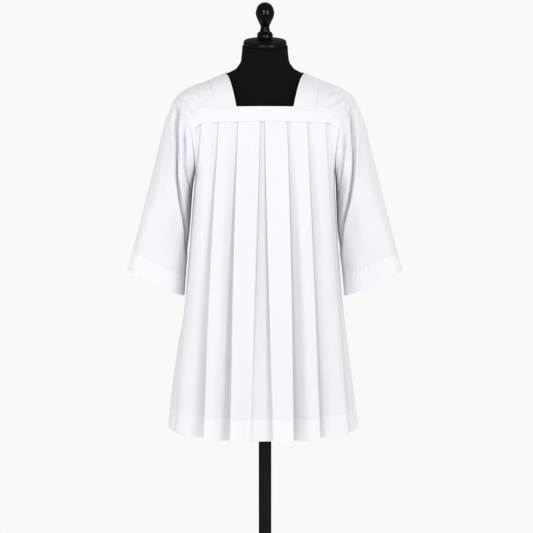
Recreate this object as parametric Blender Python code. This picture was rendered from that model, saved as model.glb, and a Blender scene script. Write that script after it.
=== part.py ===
"""A square-yoke surplice on a limbless dress form with a pole stand.

Metres, +Z up. The front faces -Y, the wearer's left is +X, and the origin is
on the floor under the middle of the stand. "right" and "left" in the names are
the wearer's.

The yoke is one surface, point(x, turn): at each x it is an arch over the
shoulder, and turn is the angle from the ridge, negative in front. The neck,
strap seams, band seams and armholes are lines drawn on it. Below the yoke the
body hangs from the band seam and the armhole down to oval rings, and the folds
of its pleats are a path of (distance along, height off) points on that base.
"""
import math

import bpy
import numpy as np

# driving dimensions
SEAM_GAP = 0.00035
CLOTH = 0.0013
PLEAT_CLOTH = 0.0010
HEM_CLOTH = 0.0018
SEAT_GAP = 0.0004

HEM_HEIGHT = 0.5515
HEM_BAND_TOP = 0.608
BUST_HEIGHT = 1.306
UNDERARM_DROP = 0.090
ARMHOLE_TOP_X = 0.219
ARMHOLE_FOOT_X = 0.1775
ARMHOLE_SWEEP = 3.3
FIRST_RING_HEIGHT = 1.180
CHEST_SQUARENESS = 5.0

YOKE_DEPTH_FRONT = 0.097
YOKE_DEPTH_BACK = 0.102
YOKE_DEPTH_LOSS = 0.0125
YOKE_LOSS_WIDTH = 0.205
BACK_RAISE = 0.015

NECK_HALF_RIDGE = 0.0992
NECK_HALF_EDGE = 0.0717
STRAP_SEAM_RIDGE = 0.1435
STRAP_SEAM_EDGE = 0.127

POLE_RADIUS = 0.016
BASE_RADIUS = 0.172
BASE_THICKNESS = 0.016
TORSO_FOOT = 0.790
CAP_FOOT = 1.5405
FINIAL_FOOT = 1.5605

WHITE = (0.88, 0.88, 0.91)
BLACK_COVER = (0.018, 0.018, 0.02)
BLACK_LACQUER = (0.012, 0.012, 0.013)
BLACK_PAINT = (0.02, 0.02, 0.022)

# shoulder ridge of the yoke
RIDGE = {
    "x": (0.000, 0.060, 0.101, 0.146, 0.193, 0.216, 0.240),
    "z": (1.4775, 1.4755, 1.4700, 1.4505, 1.4320, 1.4165, 1.3930),
}

# the band's two seams: height in front, fall of the arch, bend and drop beyond it
BAND_TOP = {"height": 1.4016, "arch": 0.0050, "bend": 0.166, "drop": 0.60}
BAND_FOOT = {"height": 1.3645, "arch": 0.0055, "bend": 0.158, "drop": 0.62}

# oval rings of the body below the arms
RINGS = {
    "z": (1.1800, 1.1280, 1.0830, 1.0300, 0.9530, 0.8980, 0.8300, 0.7400, 0.6080, 0.5515),
    "half_width": (0.1780, 0.1815, 0.1845, 0.1880, 0.1940, 0.1985, 0.2070, 0.2200, 0.2370, 0.2430),
    "half_depth": (0.1180, 0.1230, 0.1275, 0.1325, 0.1400, 0.1450, 0.1515, 0.1600, 0.1720, 0.1770),
    "squareness": (5.00, 4.50, 4.10, 3.60, 3.10, 2.85, 2.65, 2.40, 2.15, 2.05),
    "shift": (-0.0010, -0.0018, -0.0022, -0.0026, -0.0027, -0.0027, -0.0030, -0.0050, -0.0053,
              -0.0050),
}

# x of each pleat's fold edge at the band seam, at mid height and at the hem
FOLD_LEVELS = (1.364, 1.035, 0.5515)
FRONT_FOLDS = {
    "right_3": (-0.1620, -0.1830, -0.2220),
    "right_2": (-0.1170, -0.1355, -0.1520),
    "right_1": (-0.0685, -0.0790, -0.0860),
    "centre": (-0.0062, -0.0062, -0.0055),
    "left_1": (0.0565, 0.0655, 0.0715),
    "left_2": (0.1075, 0.1205, 0.1370),
    "left_3": (0.1545, 0.1715, 0.2060),
}
BACK_FOLDS = {
    "right_3": (-0.1590, -0.1790, -0.2150),
    "right_2": (-0.1130, -0.1300, -0.1480),
    "right_1": (-0.0650, -0.0740, -0.0830),
    "centre": (-0.0020, -0.0030, -0.0050),
    "left_1": (0.0610, 0.0700, 0.0790),
    "left_2": (0.1095, 0.1240, 0.1420),
    "left_3": (0.1560, 0.1740, 0.2080),
}

# one knife pleat as a path of (along, off) steps from its fold edge, pressed
# flat at the band seam and standing open at the hem
PLEAT_PRESSED = {
    "along": (-0.0290, -0.0013, 0.0000, -0.0013, -0.0210, -0.0214, -0.0210, 0.0025, 0.0125),
    "off": (0.0000, 0.0000, -0.0013, -0.0026, -0.0026, -0.0030, -0.0034, -0.0034, -0.0020),
}
PLEAT_OPEN = {
    "along": (-0.0290, -0.0050, 0.0005, -0.0010, -0.0090, -0.0105, -0.0070, 0.0075, 0.0215),
    "off": (0.0060, 0.0145, 0.0125, 0.0060, -0.0060, -0.0150, -0.0225, -0.0225, -0.0135),
}
# half of the inverted pleat in the middle, from its valley outwards
VALLEY_PRESSED = {
    "along": (0.0000, 0.0230, 0.0234, 0.0230, 0.0065, 0.0052, 0.0065, 0.0140),
    "off": (-0.0034, -0.0034, -0.0030, -0.0026, -0.0026, -0.0013, 0.0000, 0.0000),
}
VALLEY_OPEN = {
    "along": (0.0000, 0.0250, 0.0285, 0.0290, 0.0278, 0.0262, 0.0285, 0.0420),
    "off": (-0.0220, -0.0215, -0.0180, -0.0120, -0.0060, -0.0012, 0.0012, 0.0010),
}
OPENING_EASE = 1.15
CORNER_SHARE = 0.55
SIDE_SHARES = np.array((0.10, 0.35, 0.65))
TAIL_ROOM = 0.55
TAIL_OPENING = 0.8

# rows of a panel: those that end at the armhole, at a turn in degrees, with
# their height in the middle, and the level ones below
ARMHOLE_ROWS = {
    "turn": (90.0, 106.0, 128.0, 180.0),
    "middle": (1.334, 1.300, 1.262, 1.216),
}
RING_ROWS = (1.180, 1.040, 0.900, 0.760, HEM_BAND_TOP, HEM_BAND_TOP - 0.0006, HEM_HEIGHT)

# the sleeve: its outer line, its inner line on each side, and its depth
SLEEVE = {
    "at": (0.00, 0.04, 0.096, 0.156, 0.30, 0.45, 0.60, 0.75, 0.89, 1.00),
    "outer_x": (0.2190, 0.2300, 0.2410, 0.2520, 0.2687, 0.2860, 0.3034, 0.3208, 0.3370, 0.3490),
    "outer_z": (1.4148, 1.4000, 1.3760, 1.3500, 1.2839, 1.2150, 1.1461, 1.0773, 1.0130, 0.9630),
    "inner_right_x": (0.1778, 0.1795, 0.1818, 0.1838, 0.1872, 0.1905, 0.1940, 0.1980, 0.2015, 0.2050),
    "inner_left_x": (0.1778, 0.1786, 0.1793, 0.1802, 0.1818, 0.1838, 0.1870, 0.1925, 0.1975, 0.2015),
    "inner_z": (1.2160, 1.2060, 1.1890, 1.1710, 1.1280, 1.0830, 1.0390, 0.9940, 0.9530, 0.8980),
    "mid_y": (0.0025, 0.0020, 0.0010, 0.0000, -0.0020, -0.0040, -0.0055, -0.0065, -0.0075, -0.0080),
    "half_depth": (0.0900, 0.0885, 0.0860, 0.0830, 0.0750, 0.0670, 0.0590, 0.0510, 0.0430, 0.0380),
}
SLEEVE_SQUARENESS = (2.0, 2.5)
SLEEVE_HEM_AT = 0.89

# soft troughs of the sleeves: where each starts and ends along the sleeve,
# its turn round it there (degrees from the top, forwards), depth and width
SLEEVE_TROUGHS = {
    "side": (-1, -1, -1, 1, 1, 1),
    "start": (0.05, 0.07, 0.06, 0.04, 0.07, 0.06),
    "end": (0.72, 0.30, 0.66, 0.70, 0.32, 0.62),
    "turn_start": (30, 78, -34, 30, 84, -38),
    "turn_end": (166, 168, -158, 168, 172, -162),
    "depth": (0.0110, 0.0060, 0.0090, 0.0110, 0.0060, 0.0090),
    "width": (0.017, 0.012, 0.018, 0.016, 0.012, 0.019),
}

# oval rings of the dress form: its body up to the arm ends, the shoulders, whose
# rings lie just under the yoke's ridge, and the neck
FORM_BODY = {
    "z": (0.7900, 0.7960, 0.8300, 0.9000, 1.0000, 1.0800, 1.1800, 1.2500, 1.3000, 1.3400,
          1.3800, 1.4080),
    "half_width": (0.118, 0.130, 0.140, 0.142, 0.134, 0.130, 0.140, 0.150, 0.160, 0.170,
                   0.182, 0.190),
    "half_depth": (0.086, 0.094, 0.102, 0.102, 0.092, 0.086, 0.092, 0.092, 0.088, 0.082,
                   0.074, 0.064),
    "squareness": (2.0, 2.0, 2.0, 2.0, 2.0, 2.0, 2.0, 2.0, 2.0, 2.0, 2.0, 2.0),
}
FORM_SHOULDERS = {
    "half_width": (0.193, 0.146, 0.097),
    "half_depth": (0.052, 0.050, 0.055),
    "squareness": (1.80, 1.50, 1.35),
}
FORM_NECK = {
    "z": (1.4810, 1.4960, 1.5150, 1.5400),
    "half_width": (0.0740, 0.0630, 0.0590, 0.0570),
    "half_depth": (0.0560, 0.0565, 0.0565, 0.0565),
    "squareness": (1.60, 1.90, 2.00, 2.00),
}

# turned profiles as (radius, height above the foot)
CAP_PROFILE = ((0.0, 0.0), (0.0525, 0.0), (0.0540, 0.0015), (0.0545, 0.0060),
               (0.0540, 0.0110), (0.0520, 0.0138), (0.0480, 0.0148),
               (0.0300, 0.0180), (0.0, 0.0196))
FINIAL_PROFILE = ((0.0, 0.0), (0.0195, 0.0), (0.0200, 0.0050), (0.0195, 0.0105),
                  (0.0170, 0.0148), (0.0130, 0.0170), (0.0122, 0.0190),
                  (0.0124, 0.0225), (0.0108, 0.0262), (0.0104, 0.0290),
                  (0.0128, 0.0350), (0.0175, 0.0450), (0.0215, 0.0540),
                  (0.0235, 0.0630), (0.0232, 0.0680), (0.0222, 0.0692),
                  (0.0222, 0.0705), (0.0200, 0.0790), (0.0150, 0.0860),
                  (0.0080, 0.0900), (0.0, 0.0912))
SOCKET_PROFILE = ((0.0, 0.0), (0.0240, 0.0), (0.0260, 0.0020), (0.0260, 0.0160),
                  (0.0520, 0.0200), (0.0540, 0.0220), (0.0540, 0.0280), (0.0, 0.0280))
BASE_PROFILE = ((0.0, 0.0), (0.1690, 0.0), (1.0, 0.003), (1.0, 0.009),
                (0.1600, 0.0130), (0.0600, 0.0160), (0.0, 0.0160))
COLLAR_PROFILE = ((0.0168, 0.0), (0.0340, 0.0), (0.0350, 0.0015), (0.0330, 0.0100),
                  (0.0240, 0.0180), (0.0220, 0.0260), (0.0168, 0.0260))

SIDE_NAMES = {-1: "right", 1: "left"}
FACE_NAMES = {-1: "front", 1: "back"}


def clear_scene():
    """Take every object out of the open scene."""
    for item in list(bpy.data.objects):
        bpy.data.objects.remove(item)


def soft_step(value):
    """A step from 0 to 1 with flat ends."""
    held = np.clip(value, 0.0, 1.0)
    return held * held * (3.0 - 2.0 * held)


def smooth_read(keys, values, at):
    """Read a short table as one smooth curve: cubics with matching slopes."""
    keys = np.asarray(keys, float)
    values = np.asarray(values, float)
    if keys[0] > keys[-1]:
        keys = keys[::-1]
        values = values[::-1]
    slopes = np.gradient(values, keys)
    at = np.clip(np.asarray(at, float), keys[0], keys[-1])
    step = np.clip(np.searchsorted(keys, at, side="right") - 1, 0, len(keys) - 2)
    span = keys[step + 1] - keys[step]
    t = (at - keys[step]) / span
    rise = t * t * (3.0 - 2.0 * t)
    lead = t * (1.0 - t) ** 2 * span
    tail = t * t * (1.0 - t) * span
    return (values[step] * (1.0 - rise) + values[step + 1] * rise
            + slopes[step] * lead - slopes[step + 1] * tail)


def unit(vectors):
    """Vectors scaled to length one."""
    size = np.linalg.norm(vectors, axis=-1, keepdims=True)
    return vectors / np.maximum(size, 1e-12)


def new_material(name, colour, roughness, metallic=0.0):
    """A Principled material with one colour and finish."""
    material = bpy.data.materials.new(name)
    material.use_nodes = True
    shader = material.node_tree.nodes["Principled BSDF"]
    shader.inputs["Base Color"].default_value = (*colour, 1.0)
    shader.inputs["Roughness"].default_value = roughness
    shader.inputs["Metallic"].default_value = metallic
    material.diffuse_color = (*colour, 1.0)
    return material


def enclosed_volume(points, faces):
    """Signed volume inside a closed mesh, positive where it faces out."""
    total = 0.0
    for face in faces:
        first = points[face[0]]
        for second, third in zip(face[1:-1], face[2:]):
            total += np.dot(first, np.cross(points[second], points[third])) / 6.0
    return total


def add_object(name, points, faces, finish, sharp_angle=35.0):
    """Put a closed mesh into the scene under its name, facing outwards."""
    if enclosed_volume(points, faces) < 0.0:
        faces = [tuple(reversed(face)) for face in faces]
    mesh = bpy.data.meshes.new(name)
    mesh.from_pydata([tuple(point) for point in points], [], faces)
    mesh.shade_smooth()
    mesh.set_sharp_from_angle(angle=math.radians(sharp_angle))
    mesh.materials.append(new_material(name + "_finish", *finish))
    item = bpy.data.objects.new(name, mesh)
    bpy.context.scene.collection.objects.link(item)
    return item


def add_wall(name, outer, inner, finish, tube=False):
    """A cloth wall between two point grids (rows, columns, 3).

    tube joins the last column to the first. The free edges get rims.
    """
    rows, columns = outer.shape[:2]
    points = np.concatenate([outer.reshape(-1, 3), inner.reshape(-1, 3)])
    behind = rows * columns
    spans = columns if tube else columns - 1
    faces = []

    def spot(row, column):
        return row * columns + column % columns

    for row in range(rows - 1):
        for column in range(spans):
            quad = (spot(row, column), spot(row, column + 1),
                    spot(row + 1, column + 1), spot(row + 1, column))
            faces.append(quad)
            faces.append(tuple(behind + corner for corner in reversed(quad)))
    for column in range(spans):
        for row, turned in ((0, True), (rows - 1, False)):
            first = spot(row, column)
            second = spot(row, column + 1)
            rim = (first, second, behind + second, behind + first)
            faces.append(tuple(reversed(rim)) if turned is False else rim)
    if not tube:
        for row in range(rows - 1):
            for column, turned in ((0, False), (columns - 1, True)):
                first = spot(row, column)
                second = spot(row + 1, column)
                rim = (first, second, behind + second, behind + first)
                faces.append(tuple(reversed(rim)) if turned is False else rim)
    return add_object(name, points, face_out(faces), finish)


def face_out(faces):
    """Turn rim faces until each shared edge runs both ways."""
    edges = {}
    for index, face in enumerate(faces):
        for first, second in zip(face, face[1:] + face[:1]):
            edges.setdefault(frozenset((first, second)), []).append(index)
    turned = list(faces)
    seen = {0}
    waiting = [0]
    while waiting:
        index = waiting.pop()
        face = turned[index]
        for first, second in zip(face, face[1:] + face[:1]):
            for other in edges[frozenset((first, second))]:
                if other in seen:
                    continue
                near = turned[other]
                pairs = set(zip(near, near[1:] + near[:1]))
                if (first, second) in pairs:
                    turned[other] = tuple(reversed(near))
                seen.add(other)
                waiting.append(other)
    return turned


def add_lathe(name, profile, foot, finish, sides=32):
    """Turn a (radius, height) profile about the vertical axis.

    A profile that starts and ends on the axis is closed there by one point
    each. One that stays off the axis is joined end to end, as a ring.
    """
    angles = np.arange(sides) * 2.0 * math.pi / sides
    turned = [pair for pair in profile if pair[0] > 0.0]
    grid = np.array([[(radius * math.cos(angle), radius * math.sin(angle), foot + height)
                      for angle in angles] for radius, height in turned])
    points = list(grid.reshape(-1, 3))
    rows = len(turned)
    faces = []
    for row in range(rows - 1):
        for side in range(sides):
            ahead = (side + 1) % sides
            faces.append((row * sides + side, row * sides + ahead,
                          (row + 1) * sides + ahead, (row + 1) * sides + side))
    if profile[0][0] > 0.0:
        last = (rows - 1) * sides
        for side in range(sides):
            ahead = (side + 1) % sides
            faces.append((last + side, last + ahead, ahead, side))
    else:
        for row, height, flip in ((0, profile[0][1], True), (rows - 1, profile[-1][1], False)):
            points.append(np.array((0.0, 0.0, foot + height)))
            hub = len(points) - 1
            for side in range(sides):
                rim = (row * sides + side, row * sides + (side + 1) % sides, hub)
                faces.append(tuple(reversed(rim)) if flip else rim)
    return add_object(name, np.array(points), faces, finish)


# ---------------------------------------------------------------- the yoke

def ridge_height(x):
    """Height of the shoulder ridge at each x."""
    return smooth_read(RIDGE["x"], RIDGE["z"], np.abs(x))


def yoke_depth(x, turn):
    """How far the arch reaches forwards or back where it is steepest."""
    middle = np.where(turn < 0.0, YOKE_DEPTH_FRONT, YOKE_DEPTH_BACK)
    return middle - YOKE_DEPTH_LOSS * (x / YOKE_LOSS_WIDTH) ** 2


def yoke_point(x, turn):
    """A point of the yoke's outer face at x and a turn from the ridge."""
    x, turn = np.broadcast_arrays(np.asarray(x, float), np.asarray(turn, float))
    rise = ridge_height(x) - BUST_HEIGHT
    return np.stack([x, yoke_depth(x, turn) * np.sin(turn),
                     BUST_HEIGHT + rise * np.cos(turn)], axis=-1)


def yoke_normal(x, turn):
    """The outward direction of the yoke's face at x and turn."""
    step = 1e-4
    x, turn = np.broadcast_arrays(np.asarray(x, float), np.asarray(turn, float))
    across = yoke_point(x + step, turn) - yoke_point(x - step, turn)
    side = np.where(turn < 0.0, -step, step)
    along = (yoke_point(x, turn + side) - yoke_point(x, turn)) / side[..., None]
    return unit(np.cross(across, along))


def armhole_x(turn):
    """Half width of the garment at the armhole, at a turn from the ridge."""
    lift = (1.0 + np.cos(turn)) / 2.0
    reach = ARMHOLE_TOP_X - ARMHOLE_FOOT_X
    return ARMHOLE_FOOT_X + reach * lift ** ARMHOLE_SWEEP


def armhole_point(turn, side):
    """A point of the armhole seam, from the ridge (0) to the underarm (pi)."""
    turn = np.asarray(turn, float)
    x = armhole_x(turn)
    upper = (ridge_height(x) - BUST_HEIGHT) * np.cos(turn)
    lower = UNDERARM_DROP * np.cos(turn)
    height = BUST_HEIGHT + np.where(np.cos(turn) > 0.0, upper, lower)
    return np.stack([side * x, yoke_depth(x, turn) * np.sin(turn), height], axis=-1)


def seam_height(seam, x, face):
    """Height of a band seam: a shallow arch that drops beyond its bend."""
    x = np.abs(x)
    lift = BACK_RAISE if face > 0 else 0.0
    arch = seam["arch"] * (x / seam["bend"]) ** 2
    return seam["height"] + lift - arch - seam["drop"] * np.maximum(x - seam["bend"], 0.0)


def band_top(x, face):
    """Height of the band's upper seam."""
    return seam_height(BAND_TOP, x, face)


def band_foot(x, face):
    """Height of the band's lower seam, where the pleats hang."""
    return seam_height(BAND_FOOT, x, face)


def turn_at(x, height, face):
    """The turn at which the yoke's face passes a height."""
    rise = ridge_height(x) - BUST_HEIGHT
    return face * np.arccos(np.clip((height - BUST_HEIGHT) / rise, -1.0, 1.0))


def band_end(height_at, face):
    """The x where a line of the band meets the armhole, found by repeats."""
    x = 0.19
    for _ in range(60):
        x = 0.5 * x + 0.5 * float(armhole_x(turn_at(x, height_at(x), face)))
    return x


def outer_stations(bend, end):
    """Steps of x from the strap's seam over the seam's bend to its end."""
    return np.concatenate([np.linspace(STRAP_SEAM_EDGE, bend, 4)[:-1], np.linspace(bend, end, 4)])


def neck_x(share):
    """Half width of the neck opening, share 0 at the ridge and 1 at the band."""
    return NECK_HALF_RIDGE + (NECK_HALF_EDGE - NECK_HALF_RIDGE) * share


def strap_seam_x(share):
    """Half width at the strap's outer seam, share 0 at the ridge."""
    return STRAP_SEAM_RIDGE + (STRAP_SEAM_EDGE - STRAP_SEAM_RIDGE) * share


def add_yoke_piece(name, x, turn):
    """A wall of the yoke from grids of x and turn."""
    outer = yoke_point(x, turn)
    inner = outer - yoke_normal(x, turn) * CLOTH
    add_wall(name, outer, inner, (WHITE, 0.85))


def add_band(face):
    """The straight band across the chest or the shoulder blades."""
    shares = np.linspace(0.0, 1.0, 4)
    half = [np.linspace(0.0, NECK_HALF_EDGE, 4)[:-1],
            np.linspace(NECK_HALF_EDGE, STRAP_SEAM_EDGE, 5)[:-1]]
    rows_x = []
    rows_turn = []
    for share in shares:
        def height_at(x, share=share):
            high = band_top(x, face) - SEAM_GAP / 2.0
            low = band_foot(x, face) + SEAM_GAP / 2.0
            return high + (low - high) * share

        end = band_end(height_at, face) - SEAM_GAP
        bend = BAND_TOP["bend"] + (BAND_FOOT["bend"] - BAND_TOP["bend"]) * share
        stations = np.concatenate(half + [outer_stations(bend, end)])
        x = np.concatenate([-stations[:0:-1], stations])
        rows_x.append(x)
        rows_turn.append(turn_at(x, height_at(x), face))
    add_yoke_piece(FACE_NAMES[face] + "_band", np.array(rows_x), np.array(rows_turn))


def shoulder_shares():
    """Steps from the front band (-1) over the ridge (0) to the back band (1)."""
    return np.linspace(-1.0, 1.0, 15)


def add_strap(side):
    """The strap that runs over the shoulder beside the neck."""
    rows_x = []
    rows_turn = []
    for share in shoulder_shares():
        face = -1 if share < 0.0 else 1
        inner_edge = neck_x(abs(share))
        outer_edge = strap_seam_x(abs(share)) - SEAM_GAP / 2.0
        foot = np.linspace(neck_x(1.0), strap_seam_x(1.0), 5)
        foot_turn = turn_at(foot, band_top(foot, face) + SEAM_GAP / 2.0, face)
        rows_x.append(side * np.linspace(inner_edge, outer_edge, 5))
        rows_turn.append(foot_turn * abs(share))
    add_yoke_piece("strap_" + SIDE_NAMES[side], np.array(rows_x), np.array(rows_turn))


def add_shoulder(side):
    """The shoulder piece between the strap's seam and the sleeve."""
    rows_x = []
    rows_turn = []
    for share in shoulder_shares():
        face = -1 if share < 0.0 else 1
        end = band_end(lambda x: band_top(x, face) + SEAM_GAP / 2.0, face)
        foot = outer_stations(BAND_TOP["bend"], end)
        foot_turn = turn_at(foot, band_top(foot, face) + SEAM_GAP / 2.0, face)
        turn = foot_turn * abs(share)
        inner_edge = strap_seam_x(abs(share)) + SEAM_GAP / 2.0
        outer_edge = float(armhole_x(turn[-1])) - SEAM_GAP
        step = (foot - foot[0]) / (foot[-1] - foot[0])
        rows_x.append(side * (inner_edge + (outer_edge - inner_edge) * step))
        rows_turn.append(turn)
    add_yoke_piece("shoulder_" + SIDE_NAMES[side], np.array(rows_x), np.array(rows_turn))


# ---------------------------------------------------------------- the body

def ring_value(column, height):
    """One column of the ring table, read smoothly at a height."""
    return smooth_read(RINGS["z"], RINGS[column], height)


def fold_x(folds, height):
    """The x of each fold edge at a height, from right to left."""
    return np.array([float(smooth_read(FOLD_LEVELS, row, height)) for row in folds.values()])


def panel_corner(face):
    """Half width of the panel at the band seam."""
    return band_end(lambda x: band_foot(x, face) - SEAM_GAP / 2.0, face) - SEAM_GAP


def spread(folds, place, positions, end, corner):
    """Read where each place of a row lies, in x or as an angle.

    place runs from -2 to 2, the row's ends. positions are those of the folds
    there, and the stretch beyond the last fold is shared out to the end.
    """
    fold_places = np.array([row[0] for row in folds.values()]) / corner
    first = positions[0] - CORNER_SHARE * (positions[0] + end)
    last = positions[-1] + CORNER_SHARE * (end - positions[-1])
    places = np.concatenate([[-2.0, -1.0], fold_places, [1.0, 2.0]])
    return np.interp(place, places, np.concatenate([[-end, first], positions, [last, end]]))


def seam_row(folds, place, face):
    """The panel's upper row, along the band seam."""
    corner = panel_corner(face)
    positions = np.array([row[0] for row in folds.values()])
    x = spread(folds, place, positions, corner, corner)
    return yoke_point(x, turn_at(x, band_foot(x, face) - SEAM_GAP / 2.0, face))


def oval_row(folds, place, face, level, oval, end):
    """A row on an oval (half width, half depth, squareness, shift) up to an end angle."""
    width, depth, squareness, shift = oval
    off = fold_x(folds, level) - shift
    share = np.clip(np.abs(off) / width, 0.0, 0.999)
    positions = np.sign(off) * np.arcsin(share ** (squareness / 2.0))
    angle = spread(folds, place, positions, end, panel_corner(face))
    power = 2.0 / squareness
    x = shift + width * np.sign(angle) * np.abs(np.sin(angle)) ** power
    y = face * depth * np.abs(np.cos(angle)) ** power
    return np.stack([x, y, np.full_like(x, level)], axis=-1)


def armhole_row(folds, place, face, turn, level):
    """A row that ends at both armholes, at a turn from the ridge."""
    end = armhole_point(face * turn, 1.0)
    reach = end[0] - 2.0 * SEAM_GAP
    top_depth = abs(float(yoke_point(0.0, turn_at(0.0, band_foot(0.0, face), face))[1]))
    fallen = (band_foot(0.0, face) - level) / (band_foot(0.0, face) - FIRST_RING_HEIGHT)
    depth = top_depth + (float(ring_value("half_depth", FIRST_RING_HEIGHT)) - top_depth) * fallen
    power = CHEST_SQUARENESS
    width = reach / (1.0 - (abs(end[1]) / depth) ** power) ** (1.0 / power)
    last = math.asin((reach / width) ** (power / 2.0))
    row = oval_row(folds, place, face, level, (width, depth, power, 0.0), last)
    row[:, 2] += (end[2] - level) * (np.abs(row[:, 0]) / reach) ** 3
    return row


def ring_row(folds, place, face, level):
    """A level row of the body below the arms."""
    oval = [float(ring_value(key, level)) for key in ("half_width", "half_depth", "squareness", "shift")]
    return oval_row(folds, place, face, level, oval, math.pi / 2.0)


def panel_base(folds, place, face):
    """Dense base of a panel: its points and outward directions, row by row."""
    base = [seam_row(folds, place, face)]
    for turn, level in zip(ARMHOLE_ROWS["turn"], ARMHOLE_ROWS["middle"]):
        base.append(armhole_row(folds, place, face, math.radians(turn), level))
    for level in RING_ROWS:
        base.append(ring_row(folds, place, face, level))
    base = np.array(base)
    across = np.gradient(base, axis=1)
    down = np.empty_like(base)
    down[1:-1] = base[2:] - base[:-2]
    down[0] = base[1] - base[0]
    down[-1] = base[-1] - base[-2]
    out = unit(np.cross(down, across) * face * -1.0)
    underarm = len(ARMHOLE_ROWS["turn"])
    for column, side in ((0, -1.0), (-1, 1.0)):
        out[underarm:, column] = (side, 0.0, 0.0)
    return base, out


def mixed(pressed, opened, share):
    """A pleat's path part way between pressed and open."""
    along = np.array(pressed["along"]) * (1.0 - share) + np.array(opened["along"]) * share
    off = np.array(pressed["off"]) * (1.0 - share) + np.array(opened["off"]) * share
    return along, off


def outer_tail(fold, end, along, off):
    """The outermost pleat and the plain cloth beyond it, to the row's end.

    All is measured from the fold, outwards. The pleat's tail takes at most
    a share of the room there.
    """
    room = end - fold
    squeeze = min(1.0, TAIL_ROOM * room / along[-1])
    steps = np.where(along > 0.0, along * squeeze, along)
    rest = steps[-1] + (room - steps[-1]) * SIDE_SHARES
    distances = np.concatenate([steps, rest, [room]])
    return distances, np.concatenate([off, np.zeros(len(rest) + 1)])


def pleat_path(spots, length, share):
    """The row's whole path of (along, off) points, from right to left.

    spots are the distances of the folds along the row. The outermost pleats
    open less than the others, as the cloth is narrow there.
    """
    along, off = mixed(PLEAT_PRESSED, PLEAT_OPEN, share)
    tail_along, tail_off = mixed(PLEAT_PRESSED, PLEAT_OPEN, share * TAIL_OPENING)
    half_along, half_off = mixed(VALLEY_PRESSED, VALLEY_OPEN, share)
    start = SEAM_GAP / 2.0
    end = length - SEAM_GAP / 2.0
    distances, offs = outer_tail(-spots[0], -start, tail_along, tail_off)
    path = list(zip(spots[0] - distances[::-1], offs[::-1]))
    middle = len(spots) // 2
    for spot in spots[1:middle]:
        path += list(zip(spot - along[::-1], off[::-1]))
    path += list(zip(spots[middle] - half_along[:0:-1], half_off[:0:-1]))
    path += list(zip(spots[middle] + half_along, half_off))
    for spot in spots[middle + 1:-1]:
        path += list(zip(spot + along, off))
    distances, offs = outer_tail(spots[-1], end, tail_along, tail_off)
    path += list(zip(spots[-1] + distances, offs))
    return np.array(path)


def offset_path(path, wall):
    """The path's inner side, a wall's thickness in, with mitred corners."""
    step = unit(np.diff(path, axis=0))
    normal = np.stack([-step[:, 1], step[:, 0]], axis=-1)
    before = np.concatenate([normal[:1], normal])
    after = np.concatenate([normal, normal[-1:]])
    mid = unit(before + after)
    mitre = 1.0 / np.maximum(np.sum(mid * after, axis=-1), 0.6)
    mid[0] = mid[-1] = (0.0, 1.0)
    mitre[0] = mitre[-1] = 1.0
    return path - mid * (wall * mitre)[:, None]


def laid_on(path, reach, base, out):
    """Place (along, off) points on a row's base."""
    spots = np.stack([np.interp(path[:, 0], reach, base[:, axis]) for axis in range(3)], axis=-1)
    aims = np.stack([np.interp(path[:, 0], reach, out[:, axis]) for axis in range(3)], axis=-1)
    return spots + unit(aims) * path[:, 1:2]


def add_panel(face):
    """A pleated body panel from the band seam and armholes to the hem."""
    folds = FRONT_FOLDS if face < 0 else BACK_FOLDS
    place = np.linspace(-2.0, 2.0, 641)
    base, out = panel_base(folds, place, face)
    fold_places = np.array([row[0] for row in folds.values()]) / panel_corner(face)
    levels = [band_foot(0.0, face), *ARMHOLE_ROWS["middle"], *RING_ROWS]
    outer = []
    inner = []
    for row_base, row_out, level in zip(base, out, levels):
        steps = np.linalg.norm(np.diff(row_base, axis=0), axis=1)
        reach = np.concatenate([[0.0], np.cumsum(steps)])
        spots = np.interp(fold_places, place, reach)
        fallen = (levels[0] - level) / (levels[0] - HEM_HEIGHT)
        path = pleat_path(spots, reach[-1], fallen ** OPENING_EASE)
        wall = HEM_CLOTH if level < HEM_BAND_TOP else PLEAT_CLOTH
        outer.append(laid_on(path, reach, row_base, row_out))
        inner.append(laid_on(offset_path(path, wall), reach, row_base, row_out))
    add_wall(FACE_NAMES[face] + "_panel", np.array(outer), np.array(inner), (WHITE, 0.85))


# -------------------------------------------------------------- the sleeves

def yoke_turn(turn):
    """A turn round the sleeve, forwards from the top, as the yoke's, negative in front."""
    return np.where(turn < math.pi, -turn, 2.0 * math.pi - turn)


def sleeve_surface(at, turn, side):
    """The sleeve's outer face.

    at runs from the armhole (0) to the cuff (1), turn goes round it from the
    top, positive towards the front. Each ring is an oval between the outer
    and the inner line, and the first ones bend to the armhole's own curve.
    """
    at, turn = np.broadcast_arrays(np.asarray(at, float), np.asarray(turn, float))

    def read(column):
        return smooth_read(SLEEVE["at"], SLEEVE[column], at)

    inner_x = read("inner_left_x" if side > 0 else "inner_right_x")
    power = 2.0 / (SLEEVE_SQUARENESS[0] + (SLEEVE_SQUARENESS[1] - SLEEVE_SQUARENESS[0]) * at)
    swing = np.cos(turn)
    round_part = np.sign(np.sin(turn)) * np.abs(np.sin(turn)) ** power
    x = (read("outer_x") + inner_x) / 2.0 + (read("outer_x") - inner_x) / 2.0 * swing
    z = (read("outer_z") + read("inner_z")) / 2.0 + (read("outer_z") - read("inner_z")) / 2.0 * swing
    y = read("mid_y") - read("half_depth") * round_part
    oval = np.stack([side * x, y, z], axis=-1)
    seam = armhole_point(yoke_turn(turn), side)
    seam[..., 0] += side * SEAM_GAP
    hold = (1.0 - soft_step(at / 0.20))[..., None]
    return oval + (seam - first_ring(turn, side)) * hold


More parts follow.
